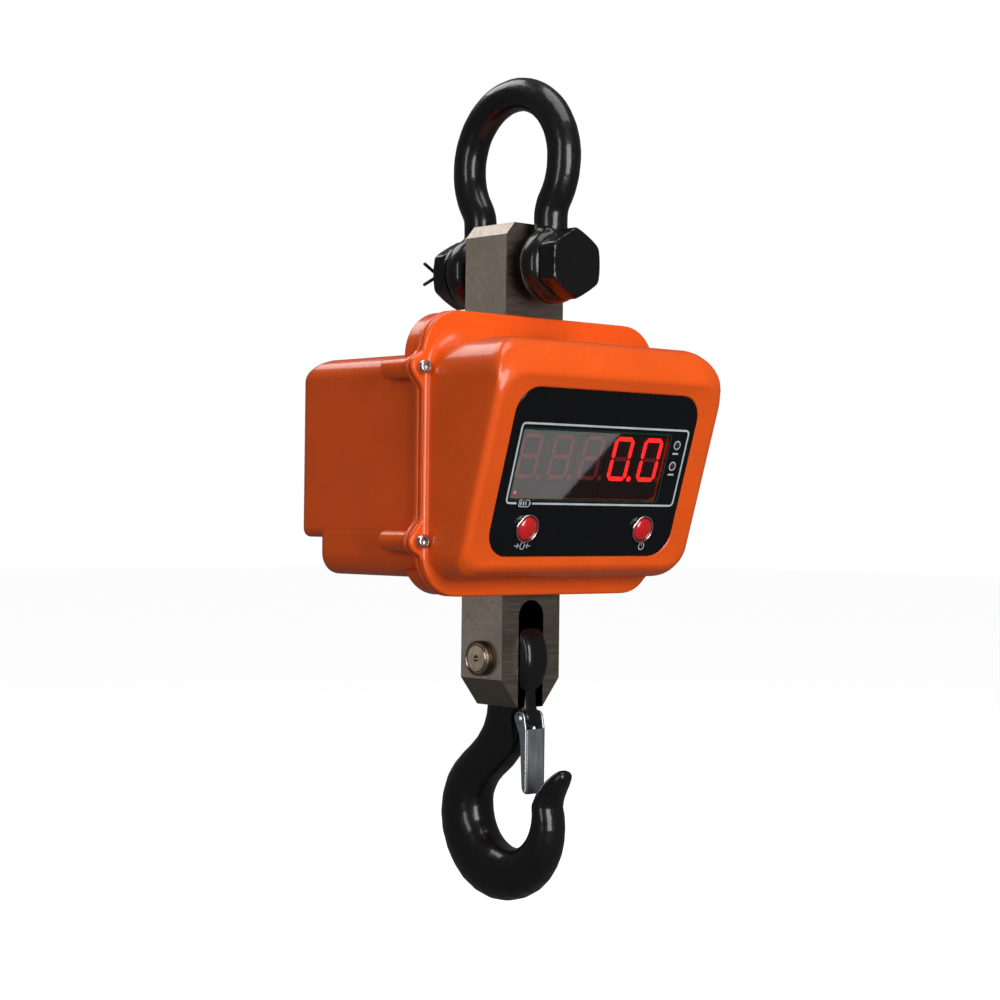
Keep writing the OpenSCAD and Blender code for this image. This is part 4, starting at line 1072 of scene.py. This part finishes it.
def ribbon(path, width, w=PRINT_W, thick=0.07, closed=False):
    """A flat printed line on the face along points of (u, v)."""
    p = np.array(path, float)
    if closed:
        along = np.roll(p, -1, 0) - np.roll(p, 1, 0)
    else:
        along = np.gradient(p, axis=0)
    along /= np.linalg.norm(along, axis=1)[:, None]
    side = np.column_stack([-along[:, 1], along[:, 0]]) * width / 2
    rings = []
    for q, s in zip(p, side):
        rings.append(np.array([face_spot(*(q + s), w), face_spot(*(q - s), w), face_spot(*(q - s), w + thick),
                               face_spot(*(q + s), w + thick)]))
    return loft(rings, closed=closed)


def bent_path(points, r, steps=5):
    """A path whose corners are rounded."""
    p = [np.array(q, float) for q in points]
    out = [p[0]]
    for a, q, b in zip(p, p[1:], p[2:]):
        ta, tb = (a - q) / np.linalg.norm(a - q) * r, (b - q) / np.linalg.norm(b - q) * r
        out += [q + ta * (1 - t) ** 2 + tb * t ** 2 for t in np.linspace(0, 1, steps)]
    return out + [p[-1]]


def circle_path(u, v, r, start=0.0, end=360.0, n=28):
    return [(u + r * math.sin(math.radians(a)), v - r * math.cos(math.radians(a)))
            for a in np.linspace(start, end, n, endpoint=end - start < 360)]


def segment_parts(lit, u, w):
    """The chosen bars of one seven-bar figure, as thin pads on the face."""
    h, wide, t = mm("digit_height") / 2, 7.8, 1.4
    gap = 0.28
    flat = [(-wide + gap + t * 0.6, 0), (-wide + gap + t * 1.5, -t * 0.95), (wide - gap - t * 1.5, -t * 0.95),
            (wide - gap - t * 0.6, 0), (wide - gap - t * 1.5, t * 0.95), (-wide + gap + t * 1.5, t * 0.95)]
    half = h / 2 - t / 2
    tall = [(0, -half + gap), (t * 0.95, -half + gap + t), (t * 0.95, half - gap - t), (0, half - gap),
            (-t * 0.95, half - gap - t), (-t * 0.95, -half + gap + t)]
    places = {"a": (flat, 0, -h + t), "g": (flat, 0, 0), "d": (flat, 0, h - t), "f": (tall, -wide + t * 0.5, -h / 2 + t / 2),
              "b": (tall, wide - t * 0.5, -h / 2 + t / 2), "e": (tall, -wide + t * 0.5, h / 2 - t / 2),
              "c": (tall, wide - t * 0.5, h / 2 - t / 2)}
    parts = []
    for key in lit:
        pad, du, dv = places[key]
        points = [(u + du + x - 0.035 * (dv + y), DIGIT_V + dv + y) for x, y in pad]
        parts.append(loft([[face_spot(*q, w) for q in points], [face_spot(*q, w + 0.12) for q in points]]))
    return parts


def on_face_revolve(profile, u, v, n=64, closed=False):
    return revolve(profile, face_spot(u, v), FACE_OUT, n, closed=closed)


class CRANESCALE_OT_readout(bpy.types.Operator):
    """Set the figures, their blocks and the window into the face"""
    bl_idname = "crane_scale.readout"
    bl_label = "Readout"

    def execute(self, context):
        digit_u = [FIRST_DIGIT + k * mm("digit_pitch") for k in range(DIGITS)]
        blocks = []
        for u in digit_u:
            outline = facewise(12.6, 39.0, 79.6, 0.8, 0.8, u - 0.3)
            blocks.append(loft([face_ring(outline, -14), face_ring(outline, DIGIT_W - 0.5),
                                face_ring(grow(outline, -0.4), DIGIT_W - 0.1)]))
        hand_over(shape("digit_blocks", blocks, "led_digits"), "scale", "led_digits", "display_digits")
        ghosts, lights = [], []
        for k, u in enumerate(digit_u):
            lit = "abcdef" if k > 2 else ""
            ghosts += segment_parts([c for c in "abcdefg" if c not in lit], u, DIGIT_W - 0.1)
            lights += segment_parts(lit, u, DIGIT_W - 0.1)
        point = [(r, h) for r, h in ((1.7, -0.02), (1.7, 0.1), (0.2, 0.12))]
        dots = [revolve(point, face_spot(u + 10.9, DIGIT_V + 12.8, DIGIT_W - 0.1), FACE_OUT, 24) for u in digit_u]
        ghosts += [dots[0], dots[1], dots[2], dots[4]]
        lights.append(dots[3])
        lights.append(revolve([(0.9, 0), (0.9, 0.1), (0.2, 0.14)], face_spot(-62.4, 78.2, DIGIT_W - 0.1), FACE_OUT, 20))
        hand_over(shape("unlit_bars", ghosts, "ghost_segment"), "scale", "led_digits", "display_digits")
        hand_over(shape("lit_bars", lights, "lit_segment"), "scale", "led_digits", "display_digits")

        u, half, top, bottom = WINDOW
        outline = facewise(half - 0.75, top + 0.75, bottom - 0.75, 2, 2, u)
        pane = loft([face_ring(outline, -1.4), face_ring(outline, -0.25), face_ring(grow(outline, -0.25), 0)])
        hand_over(shape("smoked_pane", [pane], "smoked_window"), "scale", "smoked_window", "display_window")
        return {"FINISHED"}


class CRANESCALE_OT_panel(bpy.types.Operator):
    """Lay the printed film, its lines and its signs"""
    bl_idname = "crane_scale.panel"
    bl_label = "Front panel"

    def execute(self, context):
        half, low = PANEL_W / 2 - 0.2, PANEL_TOP + 106.5 - 0.2
        u, half_window, top, bottom = WINDOW
        outer = facewise(half, PANEL_TOP + 0.2, low, 16.8, 16.8)
        hole = facewise(half_window - 0.7, top + 0.7, bottom - 0.7, 2.1, 2.1, u)
        film = loft([face_ring(outer, -1.5), face_ring(outer, -0.25), face_ring(grow(outer, -0.3), 0), face_ring(hole, 0),
                     face_ring(hole, -1.5)], closed=True)
        hand_over(shape("panel_film", [film], "panel_film", 30), "scale", "panel_film", "front_panel")
        border = facewise(half_window + 0.35, top - 0.35, bottom + 0.35, 2.6, 2.6, u)
        inner = facewise(half_window - 0.8, top + 0.8, bottom - 0.8, 2.0, 2.0, u)
        edge = loft([face_ring(border, 0.02), face_ring(border, 0.06), face_ring(inner, 0.06), face_ring(inner, 0.02)],
                    closed=True)
        hand_over(shape("window_edge", [edge], "green_edge"), "scale", "panel_film", "front_panel")

        frame_path = bent_path([(-49.4, 84), (73.3, 84), (73.3, 34), (-70.9, 34), (-70.9, 84), (-62.3, 84)], 3.0)
        prints = [ribbon(frame_path, 1.25)]
        prints.append(ribbon(bent_path([(-57, 81.9), (-51.7, 81.9), (-51.7, 86.1), (-60.1, 86.1), (-60.1, 81.9), (-57, 81.9)],
                                       0.8, 3), 0.5))
        prints += [ribbon([(-51.2, 83.2), (-51.2, 84.8)], 1.0)]
        prints += [ribbon([(x, 82.8), (x, 85.2)], 0.9) for x in (-58.6, -56.6, -54.6)]
        for v in (43.8, 57.6):
            prints.append(ribbon(circle_path(65.2, v, 2.6), 0.8, closed=True))
            prints.append(ribbon([(62.6, v + 5.6), (67.8, v + 5.6)], 1.1))
        prints.append(ribbon(circle_path(53.5, 111.2, 2.3, 35, 325), 0.55))
        prints.append(ribbon([(53.5, 107.9), (53.5, 110.9)], 0.55))
        prints.append(ribbon([(-50 + x, 111 + y) for x, y in ((-1.1, -2), (1.1, -2), (1.6, -0.8), (1.6, 0.8), (1.1, 2),
                                                               (-1.1, 2), (-1.6, 0.8), (-1.6, -0.8))], 0.55, closed=True))
        for side in (-1, 1):
            prints.append(ribbon([(-50 + side * 6.6, 111), (-50 + side * 3.0, 111)], 0.5))
            prints.append(ribbon([(-50 + side * 4.4, 109.6), (-50 + side * 3.0, 111), (-50 + side * 4.4, 112.4)], 0.5))
        hand_over(shape("panel_print", prints, "white_print", 30, weighted=False), "scale", "panel_film", "front_panel")
        return {"FINISHED"}


class CRANESCALE_OT_buttons(bpy.types.Operator):
    """Turn the bright rings and mould the two red caps"""
    bl_idname = "crane_scale.buttons"
    bl_label = "Buttons"

    def execute(self, context):
        ring = softened([(7.6, -8), (7.6, 1.2), (8.1, 2.2), (8.7, 2.1), (9.0, 1.3), (9.0, -0.4), (8.3, -0.5), (8.3, -8)], 0.35, 3)
        rings = [on_face_revolve(ring, s * 50, 99.5, 72, closed=True) for s in (-1, 1)]
        hand_over(shape("button_rings", rings, "chrome_ring", 40), "scale", "chrome_ring", "button_bezels")
        cap = [(5.0, -10.4), (7.2, -10.4), (7.3, 0.9), (7.05, 1.7), (6.5, 2.25), (5.5, 2.75), (4.2, 3.2), (2.8, 3.5),
               (1.4, 3.68), (0.2, 3.74)]
        for side, name in ((-1, "tare"), (1, "power")):
            part = on_face_revolve(cap, side * 50, 99.5, 64)
            hand_over(shape(name + "_cap", [part], "button_red", 60), name + "_button", "button_red", name + "_button")
        return {"FINISHED"}


class CRANESCALE_OT_inner_parts(bpy.types.Operator):
    """Give the parts that keep their CAD shape their finishes"""
    bl_idname = "crane_scale.inner_parts"
    bl_label = "Inner parts"

    def execute(self, context):
        slots = {part["node"]: part["material_slot"] for part in frame["record"]["subparts"]}
        for name, obj in frame["nodes"].items():
            obj.data.materials.clear()
            obj.data.materials.append(material_for(slots[name]))
        return {"FINISHED"}


# ---------------------------------------------------------------- stage

CAMERA_AT = (-0.93506, -1.02698, -0.26148)
CAMERA_AXES = ((0.74304, -0.66915, 0.01169), (-0.01359, 0.00238, 0.99990), (-0.66911, -0.74312, -0.00733))
CAMERA_LENS = 77.4
GLARE_EDGE = ((11.2, 39.2), (-23.2, 78.7))


class CRANESCALE_OT_stage(bpy.types.Operator):
    """Set the floor, the lights and the camera"""
    bl_idname = "crane_scale.stage"
    bl_label = "Stage"

    def lamp(self, name, at, aim, size, power, size_y=None, colour=(1, 1, 1)):
        light = bpy.data.lights.new(name, "AREA")
        light.shape = "RECTANGLE"
        light.size, light.size_y = size, size_y or size
        light.energy = power
        light.color = colour
        obj = bpy.data.objects.new(name, light)
        direction = Vector(aim) - Vector(at)
        obj.rotation_euler = direction.to_track_quat("-Z", "Y").to_euler()
        obj.location = at
        bpy.context.scene.collection.objects.link(obj)
        return obj

    def only(self, lamp, name, *pieces):
        """Lets a lamp reach only some pieces."""
        group = bpy.data.collections.new(name)
        for piece in pieces:
            group.objects.link(bpy.data.objects[piece])
        lamp.light_linking.receiver_collection = group

    def glare(self):
        """A lamp that only the window mirrors; its edge crosses the window on the slant."""
        at, out = Vector(CAMERA_AT), Vector(FACE_OUT)
        edge = [Vector(face_spot(*q)) * MM for q in GLARE_EDGE]
        away = 1.1
        rays = [(p - at).normalized() for p in edge]
        ends = [p + (d - 2 * d.dot(out) * out) * away for p, d in zip(edge, rays)]
        far = Vector(face_spot(GLARE_EDGE[0][0] - 30, GLARE_EDGE[0][1])) * MM
        ray = (far - at).normalized()
        far = far + (ray - 2 * ray.dot(out) * out) * away
        up = (ends[1] - ends[0]).normalized()
        left = (far - ends[0]) - (far - ends[0]).dot(up) * up
        left.normalize()
        middle = (ends[0] + ends[1]) / 2 + left * 0.4
        normal = left.cross(up)
        if normal.dot(edge[0] - middle) > 0:
            normal = -normal
        turn = Matrix((up, normal.cross(up), normal)).transposed()
        light = bpy.data.lights.new("window_glare", "AREA")
        light.shape = "RECTANGLE"
        light.size, light.size_y = 1.6, 0.8
        light.energy = 9
        lamp = bpy.data.objects.new("window_glare", light)
        lamp.matrix_world = Matrix.Translation(middle) @ turn.to_4x4()
        bpy.context.scene.collection.objects.link(lamp)
        self.only(lamp, "window_only", "smoked_pane")

    def execute(self, context):
        scene = context.scene
        scene.view_settings.view_transform = "Standard"
        mesh = bpy.data.meshes.new("studio_floor")
        s, z = 14.0, -0.72
        mesh.from_pydata([(-s, -s, z), (s, -s, z), (s, s, z), (-s, s, z)], [], [(0, 1, 2, 3)])
        floor = bpy.data.objects.new("studio_floor", mesh)
        scene.collection.objects.link(floor)
        material, tree, bsdf, where = surface("pale_floor", roughness=0.75, emission_strength=0.9,
                                              emission_color=(1.0, 1.0, 1.0))
        tree.links.new(blend(tree, grain(tree, where, 3, 2), (0.66, 0.66, 0.66), (0.70, 0.70, 0.70)),
                       bsdf.inputs["Base Color"])
        mesh.materials.append(material)
        floor.visible_glossy = False
        floor.visible_diffuse = False
        world = bpy.data.worlds.new("studio")
        world.use_nodes = True
        tree = world.node_tree
        seen = tree.nodes["Background"]
        seen.inputs[0].default_value = (1, 1, 1, 1)
        room = node(tree, "ShaderNodeBackground", {"Color": (1, 1, 1, 1), "Strength": 0.10})
        path = node(tree, "ShaderNodeLightPath").outputs["Is Camera Ray"]
        mixed = node(tree, "ShaderNodeMixShader", {0: path, 1: room.outputs[0], 2: seen.outputs[0]})
        tree.links.new(mixed.outputs[0], tree.nodes["World Output"].inputs[0])
        scene.world = world
        self.lamp("overhead_softbox", (0.1, -0.4, 1.3), (0, 0, -0.2), 1.2, 14)
        self.lamp("front_softbox", (-0.35, -2.0, 0.05), (0, 0, -0.25), 1.0, 34, 1.4)
        self.lamp("rear_top_softbox", (-0.2, 1.3, 1.3), (0, 0, -0.1), 1.0, 12)
        self.lamp("side_softbox", (-1.8, -0.55, 0.1), (0, 0, -0.25), 0.45, 8, 1.2)
        card = self.lamp("bar_card", (-1.3, 1.5, -0.2), (0, 0, -0.3), 0.8, 2.6, 1.4)
        self.only(card, "bar_only", "bar", "hook_pin_turned")
        self.glare()
        camera = bpy.data.cameras.new("camera")
        camera.lens = CAMERA_LENS
        camera.sensor_width = 36
        camera.clip_start = 0.05
        obj = bpy.data.objects.new("camera", camera)
        turn = Matrix(CAMERA_AXES).transposed().to_4x4()
        obj.matrix_world = Matrix.Translation(CAMERA_AT) @ turn
        scene.collection.objects.link(obj)
        scene.camera = obj
        return {"FINISHED"}


# ---------------------------------------------------------------- panel and run

STEPS = (CRANESCALE_OT_inner_parts, CRANESCALE_OT_shackle, CRANESCALE_OT_bolt, CRANESCALE_OT_load_bar, CRANESCALE_OT_hook,
         CRANESCALE_OT_front_case, CRANESCALE_OT_rear_case, CRANESCALE_OT_screws, CRANESCALE_OT_readout,
         CRANESCALE_OT_panel, CRANESCALE_OT_buttons, CRANESCALE_OT_stage)


class VIEW3D_PT_crane_scale(bpy.types.Panel):
    """Sizes, finishes and steps of the crane scale"""
    bl_label = "Crane scale"
    bl_space_type = "VIEW_3D"
    bl_region_type = "UI"
    bl_category = "Crane scale"

    def draw(self, context):
        for group in (sizes(), finishes()):
            box = self.layout.box()
            for name in group.bl_rna.properties.keys():
                if name not in ("rna_type", "name"):
                    box.prop(group, name)
        for step in STEPS:
            self.layout.operator(step.bl_idname)


CLASSES = (CraneScaleSizes, CraneScaleFinishes, *STEPS, VIEW3D_PT_crane_scale)


def register():
    for made in CLASSES:
        bpy.utils.register_class(made)
    bpy.types.Scene.crane_scale_sizes = bpy.props.PointerProperty(type=CraneScaleSizes)
    bpy.types.Scene.crane_scale_finishes = bpy.props.PointerProperty(type=CraneScaleFinishes)


def unregister():
    del bpy.types.Scene.crane_scale_sizes
    del bpy.types.Scene.crane_scale_finishes
    for made in reversed(CLASSES):
        bpy.utils.unregister_class(made)


def main():
    register()
    for step in STEPS:
        getattr(bpy.ops.crane_scale, step.bl_idname.split(".")[1])()


if __name__ == "__main__":
    main()
